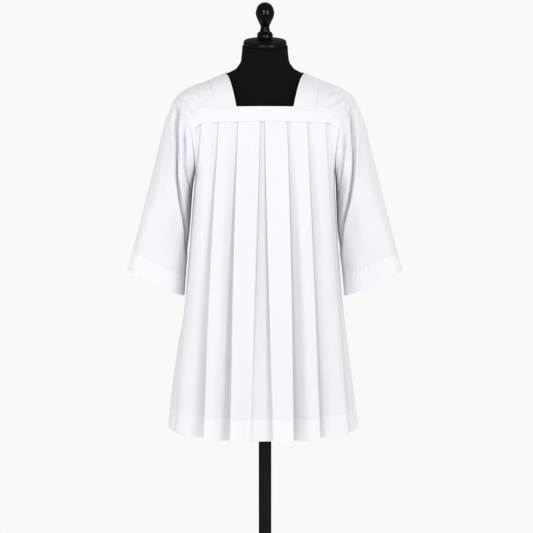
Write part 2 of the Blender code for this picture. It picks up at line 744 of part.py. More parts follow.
def first_ring(turn, side):
    """The plain oval that stands at the armhole."""
    outer = np.array((SLEEVE["outer_x"][0], SLEEVE["outer_z"][0]))
    inner = np.array((SLEEVE["inner_right_x"][0], SLEEVE["inner_z"][0]))
    swing = np.cos(turn)[..., None]
    middle = (outer + inner) / 2.0 + (outer - inner) / 2.0 * swing
    y = SLEEVE["mid_y"][0] - SLEEVE["half_depth"][0] * np.sin(turn)
    return np.stack([side * middle[..., 0], y, middle[..., 1]], axis=-1)


def surface_normal(surface, at, turn, side):
    """Outward direction of a sleeve's face, by small steps both ways."""
    step = 1e-3
    low = np.clip(at - step, 0.0, 1.0)
    high = np.clip(at + step, 0.0, 1.0)
    along = surface(high, turn, side) - surface(low, turn, side)
    around = surface(at, turn + step, side) - surface(at, turn - step, side)
    return unit(np.cross(around, along) * side)


def trough_depth(at, turn, side):
    """How deep the soft troughs are at each place of the sleeve."""
    total = np.zeros(np.broadcast(at, turn).shape)
    table = SLEEVE_TROUGHS
    for index, owner in enumerate(table["side"]):
        if owner != side:
            continue
        start = table["start"][index]
        end = table["end"][index]
        share = np.clip((at - start) / (end - start), 0.0, 1.0)
        first = math.radians(table["turn_start"][index])
        last = math.radians(table["turn_end"][index])
        path = first + (last - first) * share ** 0.8
        away = (turn - path + math.pi) % (2.0 * math.pi) - math.pi
        radius = smooth_read(SLEEVE["at"], SLEEVE["half_depth"], at)
        near = np.exp(-(away * radius / table["width"][index]) ** 2)
        fade = soft_step((at - start * 0.6) / 0.10) * soft_step((end + 0.08 - at) / 0.22)
        total += table["depth"][index] * near * fade
    return total


def folded_sleeve(at, turn, side):
    """The sleeve's outer face with its troughs pressed in."""
    plain = sleeve_surface(at, turn, side)
    return plain - surface_normal(sleeve_surface, at, turn, side) * trough_depth(at, turn, side)[..., None]


def add_sleeve(side):
    """A long hanging sleeve from the armhole seam to its hemmed cuff."""
    levels = np.array((0.0, 0.04, 0.09, 0.15, 0.22, 0.30, 0.39, 0.48, 0.57, 0.66, 0.75, 0.83,
                       SLEEVE_HEM_AT, SLEEVE_HEM_AT + 0.0012, 1.0))
    walls = np.where(levels > SLEEVE_HEM_AT, HEM_CLOTH, CLOTH)
    turns = np.arange(28) * 2.0 * math.pi / 28
    at, turn = np.meshgrid(levels, turns, indexing="ij")
    outer = folded_sleeve(at, turn, side)
    out = surface_normal(folded_sleeve, at, turn, side)
    shared = yoke_normal(side * armhole_x(turns), yoke_turn(turns))
    front = np.minimum(turns, 2.0 * math.pi - turns)
    keep = (1.0 - soft_step((front - 1.1) / 0.5))[:, None]
    out[0] = unit(shared * keep + out[0] * (1.0 - keep))
    add_wall("sleeve_" + SIDE_NAMES[side], outer, outer - out * walls[:, None, None], (WHITE, 0.85),
             tube=True)


# ------------------------------------------------------- the form and stand

def seat_height(x):
    """Height of the form's shoulder at x, just under the yoke's ridge."""
    down = float(yoke_normal(x, 0.0)[2])
    return float(ridge_height(x)) - (CLOTH + SEAT_GAP) / down


def add_torso():
    """The limbless form: oval rings from hip to neck, closed at both ends."""
    sides = 40
    angles = np.arange(sides) * 2.0 * math.pi / sides
    heights = list(FORM_BODY["z"]) + [seat_height(x) for x in FORM_SHOULDERS["half_width"]]
    heights += list(FORM_NECK["z"])
    rows = [FORM_BODY[key] + FORM_SHOULDERS[key] + FORM_NECK[key]
            for key in ("half_width", "half_depth", "squareness")]
    rings = []
    for height, width, depth, squareness in zip(heights, *rows):
        power = 2.0 / squareness
        x = width * np.sign(np.cos(angles)) * np.abs(np.cos(angles)) ** power
        y = depth * np.sign(np.sin(angles)) * np.abs(np.sin(angles)) ** power
        rings.append(np.stack([x, y, np.full(sides, height)], axis=-1))
    points = list(np.array(rings).reshape(-1, 3))
    faces = []
    for row in range(len(rings) - 1):
        for side in range(sides):
            ahead = (side + 1) % sides
            faces.append((row * sides + side, row * sides + ahead,
                          (row + 1) * sides + ahead, (row + 1) * sides + side))
    for row, flip in ((0, True), (len(rings) - 1, False)):
        points.append(np.array((0.0, 0.0, heights[row])))
        hub = len(points) - 1
        for side in range(sides):
            rim = (row * sides + side, row * sides + (side + 1) % sides, hub)
            faces.append(tuple(reversed(rim)) if flip else rim)
    add_object("form_torso", np.array(points), faces, (BLACK_COVER, 0.9))


def add_stand():
    """Neck cap, finial, socket, pole, collar and round base."""
    add_lathe("neck_cap", CAP_PROFILE, CAP_FOOT, (BLACK_PAINT, 0.35), 40)
    add_lathe("finial", FINIAL_PROFILE, FINIAL_FOOT, (BLACK_LACQUER, 0.2), 24)
    socket_foot = TORSO_FOOT - SOCKET_PROFILE[-1][1] - 0.0003
    add_lathe("form_socket", SOCKET_PROFILE, socket_foot, (BLACK_PAINT, 0.4), 32)
    pole_foot = BASE_THICKNESS + 0.0003
    pole = ((0.0, 0.0), (POLE_RADIUS, 0.0), (POLE_RADIUS, socket_foot - 0.0003 - pole_foot),
            (0.0, socket_foot - 0.0003 - pole_foot))
    add_lathe("pole", pole, pole_foot, (BLACK_PAINT, 0.35), 24)
    add_lathe("pole_collar", COLLAR_PROFILE, pole_foot, (BLACK_PAINT, 0.35), 32)
    base = [(BASE_RADIUS if radius == 1.0 else radius, height) for radius, height in BASE_PROFILE]
    add_lathe("base_disc", base, 0.0, (BLACK_PAINT, 0.4), 48)


def main():
    """Build every piece in the order it is put together."""
    clear_scene()
    add_stand()
    add_torso()
    for face in (-1, 1):
        add_panel(face)
        add_band(face)
    for side in (-1, 1):
        add_strap(side)
        add_shoulder(side)
        add_sleeve(side)


main()
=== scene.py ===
"""Dress a pleated surplice on its limbless dress form.

Metres, +Z up, the garment's front faces -Y and the wearer's left is +X. Every
cloth piece is a thin shell on the form of its solid: the yoke's pieces lie on
one arched surface, the panels hang from it as a pleated path on oval rows, and
the sleeves are ovals between an outer and an inner line.
"""
import logging
import math
from dataclasses import dataclass
from enum import Enum

import bpy
import numpy as np
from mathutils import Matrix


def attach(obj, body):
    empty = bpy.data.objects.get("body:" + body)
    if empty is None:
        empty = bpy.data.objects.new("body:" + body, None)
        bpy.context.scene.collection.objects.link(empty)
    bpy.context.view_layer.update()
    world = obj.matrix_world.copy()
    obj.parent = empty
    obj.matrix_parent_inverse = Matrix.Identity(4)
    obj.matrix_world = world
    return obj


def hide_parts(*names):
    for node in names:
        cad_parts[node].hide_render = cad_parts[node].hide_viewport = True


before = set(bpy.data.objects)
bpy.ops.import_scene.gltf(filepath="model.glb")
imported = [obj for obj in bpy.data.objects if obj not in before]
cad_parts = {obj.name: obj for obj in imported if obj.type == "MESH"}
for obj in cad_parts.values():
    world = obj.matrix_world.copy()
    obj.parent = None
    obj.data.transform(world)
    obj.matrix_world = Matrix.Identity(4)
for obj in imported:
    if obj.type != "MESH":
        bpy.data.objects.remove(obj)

log = logging.getLogger("surplice")
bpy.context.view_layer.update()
Array = np.ndarray
Table = tuple[float, ...]
Colour = tuple[float, float, float]
Profile = tuple[tuple[float, float], ...]
Waves = tuple[tuple[float, float, float, float], ...]

SEAM_GAP = 0.00018
CLOTH = 0.0013
PLEAT_CLOTH = 0.001
HEM_CLOTH = 0.0018
WHOLE_TURN = 2.0 * math.pi
SHARP_EDGE = math.radians(40.0)
SLUB_SCALES = ((900.0, 22.0, 1.0), (20.0, 900.0, 1.0))


class Side(Enum):
    """The wearer's two sides."""

    RIGHT = -1
    LEFT = 1


class Face(Enum):
    """The garment's front and back."""

    FRONT = -1
    BACK = 1


class Upper(Enum):
    """The two pieces of the yoke that run over each shoulder."""

    STRAP = "strap"
    SHOULDER = "shoulder"


# ---- numbers

def soft_step(value: Array) -> Array:
    """A step from 0 to 1 with flat ends."""
    held = np.clip(value, 0.0, 1.0)
    return held * held * (3.0 - 2.0 * held)


def smooth_read(keys: Table, values: Table, at: Array) -> Array:
    """Read a short table as one curve of cubics with matching slopes.

    Args:
        keys: where the table's values stand, rising or falling.
        values: the values there.
        at: where to read.

    Returns:
        The values read, shaped like at.
    """
    keys = np.asarray(keys, float)
    values = np.asarray(values, float)
    if keys[0] > keys[-1]:
        keys = keys[::-1]
        values = values[::-1]
    slopes = np.gradient(values, keys)
    at = np.clip(np.asarray(at, float), keys[0], keys[-1])
    step = np.clip(np.searchsorted(keys, at, side="right") - 1, 0, len(keys) - 2)
    span = keys[step + 1] - keys[step]
    t = (at - keys[step]) / span
    rise = t * t * (3.0 - 2.0 * t)
    lead = t * (1.0 - t) ** 2 * span
    tail = t * t * (1.0 - t) * span
    return (values[step] * (1.0 - rise) + values[step + 1] * rise
            + slopes[step] * lead - slopes[step + 1] * tail)


def unit(vectors: Array) -> Array:
    """Vectors scaled to length one: v / |v|."""
    return vectors / np.maximum(np.linalg.norm(vectors, axis=-1, keepdims=True), 1e-12)


def bell(away: Array, width: Array | float) -> Array:
    """A soft bump of height one: exp(-(away / width)^2)."""
    return np.exp(-(away / width) ** 2)


def rounded(path: Array) -> Array:
    """Cut a path's corners at a quarter of each step, twice over; its two ends stay.

    Args:
        path: points (n, k).

    Returns:
        The rounded path, about four times as long.
    """
    for _ in range(2):
        near = path[:-1] * 0.75 + path[1:] * 0.25
        far = path[:-1] * 0.25 + path[1:] * 0.75
        inner = np.stack([near, far], axis=1).reshape(-1, path.shape[1])
        path = np.concatenate([path[:1], inner, path[-1:]])
    return path


def reach_of(points: Array) -> Array:
    """How far each point lies along its line, from 0 at the first."""
    return np.concatenate([[0.0], np.cumsum(np.linalg.norm(np.diff(points, axis=0), axis=1))])


def read_line(at: Array, reach: Array, values: Array) -> Array:
    """Read each column of a line's values at distances along it, by straight lines."""
    return np.stack([np.interp(at, reach, column) for column in values.T], axis=-1)


def crowded(count: int, ease: float = 0.75) -> Array:
    """Steps from 0 to 1 that crowd at both ends: a line mixed by ease with (1 - cos pi line) / 2.

    Args:
        count: how many steps.
        ease: the cosine's share.

    Returns:
        The steps, from 0 to 1.
    """
    line = np.linspace(0.0, 1.0, count)
    return (1.0 - ease) * line + ease * (1.0 - np.cos(math.pi * line)) / 2.0


def ripples(u: Array, v: Array, waves: Waves) -> Array:
    """Soft relief: a sum of amount * sin(2 pi (u / long_u + v / long_v) + phase).

    Args:
        u: distance across the cloth in metres.
        v: distance down the cloth in metres.
        waves: rows of (amount, long_u, long_v, phase).

    Returns:
        The height at each place, in metres.
    """
    total = np.zeros(np.broadcast(u, v).shape)
    for amount, long_u, long_v, phase in waves:
        total = total + amount * np.sin(2.0 * math.pi * (u / long_u + v / long_v) + phase)
    return total


# ---- meshes

def put_object(name: str, data: bpy.types.ID) -> bpy.types.Object:
    """Put a new object with its data into the scene.

    Args:
        name: the object's name.
        data: its mesh, light or camera.

    Returns:
        The new object, at the origin.
    """
    item = bpy.data.objects.new(name, data)
    bpy.context.scene.collection.objects.link(item)
    return item


def grid_quads(rows: int, columns: int, tube: bool, ring: bool = False) -> Array:
    """Quads of a point grid, row by row.

    Args:
        rows: how many rows of points.
        columns: how many points a row has.
        tube: whether the last column joins the first.
        ring: whether the last row joins the first as well.

    Returns:
        Corner numbers (quads, 4).
    """
    row = np.arange(rows if ring else rows - 1)[:, None]
    column = np.arange(columns if tube else columns - 1)[None, :]
    ahead = (column + 1) % columns
    below = (row + 1) % rows
    corners = (row * columns + column, row * columns + ahead, below * columns + ahead, below * columns + column)
    return np.stack(np.broadcast_arrays(*corners), axis=-1).reshape(-1, 4)


def grid_normals(points: Array, facing: float) -> Array:
    """Unit directions square to a point grid: the cross product of its slopes, times facing (1 or -1)."""
    return unit(np.cross(np.gradient(points, axis=1), np.gradient(points, axis=0)) * facing)


def put_mesh(name: str, points: Array, quads: Array, finish: bpy.types.Material,
             chart: Array | None = None, double: Array | None = None) -> bpy.types.Object:
    """Put quads and triangles into the scene.

    Args:
        name: the piece's name.
        points: vertices (n, 3) in metres.
        quads: corner numbers (m, 4); a last corner of -1 makes a triangle.
        finish: the piece's material.
        chart: a place on the flat cloth for each vertex (n, 2), in metres.
        double: for each vertex, 1 where the cloth is turned up double, 0 elsewhere.

    Returns:
        The new object.
    """
    mesh = bpy.data.meshes.new(name)
    counts = np.where(quads[:, 3] < 0, 3, 4)
    corners = quads.reshape(-1)
    corners = corners[corners >= 0]
    mesh.vertices.add(len(points))
    mesh.vertices.foreach_set("co", np.ascontiguousarray(points, np.float32).ravel())
    mesh.loops.add(len(corners))
    mesh.loops.foreach_set("vertex_index", corners.astype(np.int32))
    mesh.polygons.add(len(counts))
    starts = np.concatenate([[0], np.cumsum(counts)[:-1]])
    mesh.polygons.foreach_set("loop_start", starts.astype(np.int32))
    mesh.update(calc_edges=True)
    if chart is not None:
        layer = mesh.uv_layers.new(name="cloth")
        layer.data.foreach_set("uv", np.ascontiguousarray(chart[corners], np.float32).ravel())
        mask = mesh.attributes.new("double_cloth", "FLOAT", "POINT")
        mask.data.foreach_set("value", np.ascontiguousarray(double, np.float32))
    mesh.validate()
    mesh.shade_smooth()
    mesh.set_sharp_from_angle(angle=SHARP_EDGE)
    mesh.materials.append(finish)
    item = put_object(name, mesh)
    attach(item, "root")
    return item


def facing_out(points: Array, quads: Array) -> Array:
    """Turn all the quads over if the closed mesh encloses a negative volume.

    The volume is six times the sum of a . (b x c) over the triangles.

    Args:
        points: vertices (n, 3).
        quads: corner numbers (m, 4), a triangle's last one -1.

    Returns:
        The quads with their faces outwards.
    """
    last = np.where(quads[:, 3] < 0, quads[:, 2], quads[:, 3])
    a, b, c, d = (points[index] for index in (quads[:, 0], quads[:, 1], quads[:, 2], last))
    volume = np.einsum("ij,ij->", a, np.cross(b, c)) + np.einsum("ij,ij->", a, np.cross(c, d))
    if volume > 0.0:
        return quads
    whole = quads[:, 3] >= 0
    turned = quads[:, [0, 3, 2, 1]]
    turned[~whole] = quads[~whole][:, [0, 2, 1, 3]]
    return turned


def cloth_shell(name: str, outer: Array, inner: Array, finish: bpy.types.Material,
                chart: Array, double: Array, tube: bool = False) -> bpy.types.Object:
    """A thin closed wall of cloth between two point grids.

    Args:
        name: the piece's name.
        outer: the outer face (rows, columns, 3).
        inner: the inner face, of the same shape.
        finish: the cloth.
        chart: the place of each point on the flat cloth (rows, columns, 2).
        double: 1 where the cloth is turned up double, 0 elsewhere (rows, columns).
        tube: whether the last column joins the first.

    Returns:
        The new object.
    """
    rows, columns = outer.shape[:2]
    behind = rows * columns
    front = grid_quads(rows, columns, tube)
    across = np.arange(columns if tube else columns - 1)
    ahead = (across + 1) % columns
    foot = (rows - 1) * columns
    edges = [(ahead, across), (across + foot, ahead + foot)]
    if not tube:
        down = np.arange(rows - 1) * columns
        right = down + columns - 1
        edges += [(down, down + columns), (right + columns, right)]
    sheets = [front, front[:, ::-1] + behind]
    sheets += [np.stack([start, end, end + behind, start + behind], axis=-1) for start, end in edges]
    points = np.concatenate([outer.reshape(-1, 3), inner.reshape(-1, 3)])
    quads = facing_out(points, np.concatenate(sheets))
    return put_mesh(name, points, quads, finish, np.concatenate([chart.reshape(-1, 2)] * 2),
                    np.concatenate([double.reshape(-1)] * 2))


def loft(grid: Array, low: float, high: float) -> tuple[Array, Array]:
    """Close a stack of rings with a pole on the axis below it and one above.

    Args:
        grid: the rings (rings, columns, 3).
        low: height of the lower pole.
        high: height of the upper one.

    Returns:
        The vertices and the faces, outwards.
    """
    rings, columns = grid.shape[:2]
    here = np.arange(columns)
    ahead = (here + 1) % columns
    last = (rings - 1) * columns
    none = np.full(columns, -1)
    points = np.concatenate([grid.reshape(-1, 3), ((0.0, 0.0, low), (0.0, 0.0, high))])
    quads = np.concatenate([
        grid_quads(rings, columns, True),
        np.stack([ahead, here, np.full(columns, rings * columns), none], axis=-1),
        np.stack([here + last, ahead + last, np.full(columns, rings * columns + 1), none], axis=-1)])
    return points, facing_out(points, quads)


def chart_of(outer: Array, tube: bool = False) -> Array:
    """Distances along the rows (u) and down the columns (v) of a point grid.

    u runs from the middle. On a tube it runs from the first column there and
    back, u = min(u, whole - u), so that it meets itself.

    Args:
        outer: the face (rows, columns, 3).
        tube: whether it is closed round.

    Returns:
        The place of each point on the flat cloth (rows, columns, 2).
    """
    across = np.linalg.norm(np.diff(outer, axis=1), axis=-1)
    u = np.concatenate([np.zeros((len(outer), 1)), np.cumsum(across, axis=1)], axis=1)
    if tube:
        whole = u[:, -1:] * u.shape[1] / (u.shape[1] - 1)
        u = np.minimum(u, whole - u)
    else:
        u = u - u[:, -1:] / 2.0
    v = np.concatenate([[0.0], -np.cumsum(np.linalg.norm(np.diff(outer, axis=0), axis=-1).mean(axis=1))])
    return np.stack([u, np.broadcast_to(v[:, None], u.shape)], axis=-1)


@dataclass(frozen=True)
class Cut:
    """A cloth piece laid flat, as it shows: width, length and area."""

    width: float
    length: float
    area: float


def cut_of(outer: Array, tube: bool) -> Cut:
    """Lay a face flat: longest row, longest column, and half of each quad's crossed diagonals, summed.

    Args:
        outer: the face (rows, columns, 3).
        tube: whether the last column joins the first.

    Returns:
        The piece's size as built.
    """
    ring = np.concatenate([outer, outer[:, :1]], axis=1) if tube else outer
    across = np.linalg.norm(np.diff(ring, axis=1), axis=-1).sum(axis=1).max()
    down = np.linalg.norm(np.diff(outer, axis=0), axis=-1).sum(axis=0).max()
    crossed = np.cross(ring[1:, 1:] - ring[:-1, :-1], ring[1:, :-1] - ring[:-1, 1:])
    return Cut(float(across), float(down), float(np.linalg.norm(crossed, axis=-1).sum() / 2.0))


# ---- finishes

class Graph:
    """A node tree that is filled one node at a time."""

    def __init__(self, tree: bpy.types.NodeTree) -> None:
        """Start on an emptied tree."""
        self.tree = tree
        tree.nodes.clear()

    def node(self, kind: str, **settings: object) -> bpy.types.Node:
        """Add a node and set its properties.

        Args:
            kind: the node's class name.
            settings: its properties by name.

        Returns:
            The new node.
        """
        made = self.tree.nodes.new(kind)
        for key, value in settings.items():
            setattr(made, key, value)
        return made

    def feed(self, value: object, target: bpy.types.NodeSocket) -> None:
        """Give a socket a constant, or join another socket to it.

        Args:
            value: the constant or the source.
            target: the socket.
        """
        if isinstance(value, bpy.types.NodeSocket):
            self.tree.links.new(value, target)
        else:
            target.default_value = value

    def math(self, operation: str, first: object, second: object = 0.0) -> bpy.types.NodeSocket:
        """One Math node between sockets or numbers.

        Args:
            operation: the sum to do.
            first: its first socket or number.
            second: its second one.

        Returns:
            The result's socket.
        """
        made = self.node("ShaderNodeMath", operation=operation)
        for socket, value in zip(made.inputs, (first, second)):
            self.feed(value, socket)
        return made.outputs[0]


def open_group(name: str, inputs: dict[str, str], outputs: dict[str, str]) -> tuple[Graph, object, object]:
    """Make a shader node group with named sockets.

    Args:
        name: the group's name.
        inputs: socket kinds by name.
        outputs: socket kinds by name.

    Returns:
        The group's graph, its input node and its output node.
    """
    tree = bpy.data.node_groups.new(name, "ShaderNodeTree")
    for way, sockets in (("INPUT", inputs), ("OUTPUT", outputs)):
        for key, kind in sockets.items():
            tree.interface.new_socket(name=key, in_out=way, socket_type=kind)
    graph = Graph(tree)
    return graph, graph.node("NodeGroupInput"), graph.node("NodeGroupOutput")


def weave_group() -> bpy.types.NodeTree:
    """Plain weave: (1 + sin(pi u / pitch) * sin(pi v / pitch)) / 2 over the cloth's own chart.

    Returns:
        The group, with the weave's height and the slubs as noise drawn out along both threads.
    """
    graph, source, target = open_group(
        "plain_weave", {"Chart": "NodeSocketVector", "Pitch": "NodeSocketFloat"},
        {"Height": "NodeSocketFloat", "Slub": "NodeSocketFloat"})
    parts = graph.node("ShaderNodeSeparateXYZ")
    graph.feed(source.outputs["Chart"], parts.inputs[0])
    turns = [graph.math("SINE", graph.math("DIVIDE", graph.math("MULTIPLY", parts.outputs[axis], math.pi),
                                           source.outputs["Pitch"])) for axis in (0, 1)]
    graph.feed(graph.math("ADD", graph.math("MULTIPLY", graph.math("MULTIPLY", *turns), 0.5), 0.5),
               target.inputs["Height"])
    streaks = []
    for scale in SLUB_SCALES:
        stretch = graph.node("ShaderNodeMapping")
        stretch.inputs["Scale"].default_value = scale
        graph.feed(source.outputs["Chart"], stretch.inputs[0])
        noise = graph.node("ShaderNodeTexNoise")
        noise.inputs["Scale"].default_value = 1.0
        noise.inputs["Detail"].default_value = 2.0
        graph.feed(stretch.outputs[0], noise.inputs["Vector"])
        streaks.append(noise.outputs["Fac"])
    graph.feed(graph.math("MULTIPLY", graph.math("ADD", *streaks), 0.5), target.inputs["Slub"])
    return graph.tree


def cloud_group() -> bpy.types.NodeTree:
    """Slow variation: noise of three octaves over the object's own place.

    Returns:
        The group, with the noise as its value.
    """
    graph, source, target = open_group(
        "slow_variation", {"Place": "NodeSocketVector", "Scale": "NodeSocketFloat"},
        {"Value": "NodeSocketFloat"})
    noise = graph.node("ShaderNodeTexNoise")
    noise.inputs["Detail"].default_value = 3.0
    noise.inputs["Roughness"].default_value = 0.45
    graph.feed(source.outputs["Place"], noise.inputs["Vector"])
    graph.feed(source.outputs["Scale"], noise.inputs["Scale"])
    graph.feed(noise.outputs["Fac"], target.inputs["Value"])
    return graph.tree


GROUPS = {"plain_weave": weave_group, "slow_variation": cloud_group}


def put_group(graph: Graph, name: str, **inputs: object) -> bpy.types.Node:
    """Place a group in a material, made when it is first asked for.

    Args:
        graph: the material's graph.
        name: the group's name.
        inputs: sockets or numbers by the group's input names.

    Returns:
        The group's node.
    """
    made = graph.node("ShaderNodeGroup", node_tree=bpy.data.node_groups.get(name) or GROUPS[name]())
    for key, value in inputs.items():
        graph.feed(value, made.inputs[key])
    return made


def put_mix(graph: Graph, first: object, second: object, factor: object,
            blend: str = "MIX") -> bpy.types.NodeSocket:
    """Mix two colours.

    Args:
        graph: the material's graph.
        first: a colour, or its socket.
        second: the other one.
        factor: how much of the second, a socket.
        blend: how they are mixed.

    Returns:
        The result's socket.
    """
    made = graph.node("ShaderNodeMix", data_type="RGBA", blend_type=blend)
    for value, key in ((first, "A"), (second, "B"), (factor, "Factor")):
        graph.feed((*value, 1.0) if isinstance(value, tuple) else value, made.inputs[key])
    return made.outputs["Result"]


@dataclass(frozen=True)
class Finish:
    """What every material shares: its name, and how it is opened and closed."""

    name: str

    def opened(self, **settings: float) -> tuple[bpy.types.Material, Graph, bpy.types.Node]:
        """Start the material with its shader joined to the output.

        Args:
            settings: the shader's numbers, by input names with underscores.

        Returns:
            The material, its graph and its Principled shader.
        """
        made = bpy.data.materials.new(self.name)
        made.use_nodes = True
        graph = Graph(made.node_tree)
        shader = graph.node("ShaderNodeBsdfPrincipled")
        graph.feed(shader.outputs[0], graph.node("ShaderNodeOutputMaterial").inputs[0])
        for key, value in settings.items():
            shader.inputs[key.replace("_", " ")].default_value = value
        return made, graph, shader

    def closed(self, graph: Graph, shader: bpy.types.Node, colour: bpy.types.NodeSocket,
               rough: bpy.types.NodeSocket, height: bpy.types.NodeSocket) -> None:
        """Join colour, roughness and a bump to the shader.

        Args:
            graph: the material's graph.
            shader: its Principled shader.
            colour: the base colour.
            rough: the roughness.
            height: the bump's height in metres.
        """
        graph.feed(colour, shader.inputs["Base Color"])
        graph.feed(rough, shader.inputs["Roughness"])
        bump = graph.node("ShaderNodeBump")
        bump.inputs["Distance"].default_value = 1.0
        graph.feed(height, bump.inputs["Height"])
        graph.feed(bump.outputs[0], shader.inputs["Normal"])


@dataclass(frozen=True)
class WovenCloth(Finish):
    """A plain woven cloth, lighter where it is turned up double."""

    single: Colour
    doubled: Colour
    pitch: float = 0.00045
    roughness: float = 0.88
    sheen: float = 0.1
    weave_depth: float = 0.00006
    crumple: float = 0.00025
    slow_scale: float = 9.0
    fine_scale: float = 46.0
    shade: Colour = (0.955, 0.957, 0.962)
    unevenness: float = 0.32
    rough_spread: float = 0.1

    def material(self) -> bpy.types.Material:
        """Build the cloth: colour by layers and slubs, bump by weave and soft crumple.

        Returns:
            The material.
        """
        made, graph, shader = self.opened(Sheen_Weight=self.sheen, Sheen_Roughness=0.6,
                                          Specular_IOR_Level=0.25)
        place = graph.node("ShaderNodeTexCoord").outputs["Object"]
        chart = graph.node("ShaderNodeUVMap", uv_map="cloth").outputs[0]
        weave = put_group(graph, "plain_weave", Chart=chart, Pitch=self.pitch)
        slow = put_group(graph, "slow_variation", Place=place, Scale=self.slow_scale)
        fine = put_group(graph, "slow_variation", Place=place, Scale=self.fine_scale)
        mask = graph.node("ShaderNodeAttribute", attribute_name="double_cloth")
        colour = put_mix(graph, self.single, self.doubled, mask.outputs["Fac"])
        uneven = graph.math("MULTIPLY", graph.math("ADD", weave.outputs["Slub"], slow.outputs["Value"]),
                            self.unevenness)
        colour = put_mix(graph, colour, self.shade, uneven, "MULTIPLY")
        rough = graph.math("ADD", graph.math("MULTIPLY", weave.outputs["Slub"], self.rough_spread),
                           self.roughness - self.rough_spread / 2.0)
        height = graph.math("ADD", graph.math("MULTIPLY", weave.outputs["Height"], self.weave_depth),
                            graph.math("MULTIPLY", fine.outputs["Value"], self.crumple))
        self.closed(graph, shader, colour, rough, height)
        return made


@dataclass(frozen=True)
class HardFinish(Finish):
    """Paint or lacquer on wood or steel, with a faint uneven gloss."""

    colour: Colour
    roughness: float
    coat: float = 0.0
    orange_peel: float = 0.00002
    rough_spread: float = 0.08
    grain_scale: float = 60.0
    peel_scale: float = 900.0
    unevenness: float = 0.4

    def material(self) -> bpy.types.Material:
        """Build the paint: one colour, with roughness and bump from noise.

        Returns:
            The material.
        """
        made, graph, shader = self.opened(Coat_Weight=self.coat, Coat_Roughness=0.06)
        place = graph.node("ShaderNodeTexCoord").outputs["Object"]
        slow = put_group(graph, "slow_variation", Place=place, Scale=self.grain_scale).outputs["Value"]
        fine = put_group(graph, "slow_variation", Place=place, Scale=self.peel_scale).outputs["Value"]
        lighter = tuple(part * 1.6 + 0.002 for part in self.colour)
        colour = put_mix(graph, self.colour, lighter, graph.math("MULTIPLY", slow, self.unevenness))
        rough = graph.math("ADD", graph.math("MULTIPLY", slow, self.rough_spread),
                           self.roughness - self.rough_spread / 2.0)
        self.closed(graph, shader, colour, rough, graph.math("MULTIPLY", fine, self.orange_peel))
        return made


COTTON = WovenCloth("white_cotton", (0.768, 0.768, 0.801), (0.797, 0.797, 0.829))
THREAD = HardFinish("white_thread", (0.9, 0.9, 0.93), 0.85, orange_peel=0.00001)
FORM_COVER = WovenCloth("black_jersey", (0.0135, 0.0135, 0.014), (0.0165, 0.0165, 0.0175), pitch=0.0009,
                        roughness=0.92, sheen=0.02, weave_depth=0.0002, crumple=0.0001)
LACQUER = HardFinish("black_lacquer", (0.006, 0.006, 0.0065), 0.16, coat=0.6, orange_peel=0.00001)
SATIN = HardFinish("satin_black", (0.012, 0.012, 0.013), 0.3, orange_peel=0.00003)
POWDER = HardFinish("powder_black", (0.016, 0.016, 0.017), 0.46, orange_peel=0.00008, grain_scale=25.0)


# ---- stitching

@dataclass(frozen=True)
class Stitching:
    """Lock stitches along a line: short arched threads, sunk at both ends."""

    finish: bpy.types.Material
    pitch: float = 0.003
    length: float = 0.0022
    thread: float = 0.0002
    glance: float = 0.0005
    rings: int = 5

    def build(self, name: str, lines: list[tuple[Array, Array]]) -> bpy.types.Object:
        """Put one named run of stitches into the scene.

        A stitch is five rings of five points: along it t in -1..1, raised by
        thread * (1.3 - 2.1 t^4) off the cloth.

        Args:
            name: the run's name.
            lines: pairs of (points, outward directions) along each seam.

        Returns:
            The new object.
        """
        parts = []
        for points, normals in lines:
            reach = reach_of(points)
            spots = np.arange(self.pitch, reach[-1] - self.pitch, self.pitch)
            seat = read_line(spots, reach, points)
            ahead = read_line(spots + self.glance, reach, points)
            parts.append(np.stack([seat, unit(ahead - seat), unit(read_line(spots, reach, normals))]))
        seat, way, aim = np.concatenate(parts, axis=1)
        cross = unit(np.cross(way, aim))
        t = np.linspace(-1.0, 1.0, self.rings)
        angle = np.arange(self.rings) * WHOLE_TURN / self.rings
        lift = self.thread * (1.3 - 2.1 * t ** 4)
        girth = self.thread * (1.0 - 0.35 * t ** 4)
        spine = (seat[:, None] + way[:, None] * (t * self.length / 2.0)[None, :, None]
                 + aim[:, None] * lift[None, :, None])
        ring = (cross[:, None, None] * np.cos(angle)[None, None, :, None]
                + aim[:, None, None] * np.sin(angle)[None, None, :, None]) * girth[None, :, None, None]
        points = (spine[:, :, None] + ring).reshape(-1, 3)
        each = self.rings ** 2
        # Hide the solid that a piece stands for, and log the piece's face count.
        caps = [(step + 1, step, 0, -1) for step in range(1, self.rings - 1)]
        caps += [(each - self.rings, each - step, each - step + 1, -1) for step in range(self.rings - 1, 1, -1)]
        one = facing_out(points[:each], np.concatenate([grid_quads(self.rings, self.rings, True), caps]))
        shift = np.arange(len(seat))[:, None, None] * each
        quads = np.where(one[None] < 0, -1, one[None] + shift).reshape(-1, 4)
        made = put_mesh(name, points, quads, self.finish)
        log.info("%s: %d stitches", name, len(seat))
        return made


def line_at(outer: Array, place: int, down: bool, facing: float) -> tuple[Array, Array]:
    """A grid's row, or its column where down, as points and outward directions.

    Args:
        outer: the cloth's outer face.
        place: which row or column.
        down: whether it is a column.
        facing: 1 or -1, so that the directions point out of the cloth.

    Returns:
        The line's points and its outward directions.
    """
    out = grid_normals(outer, facing)
    return (outer[:, place], out[:, place]) if down else (outer[place], out[place])


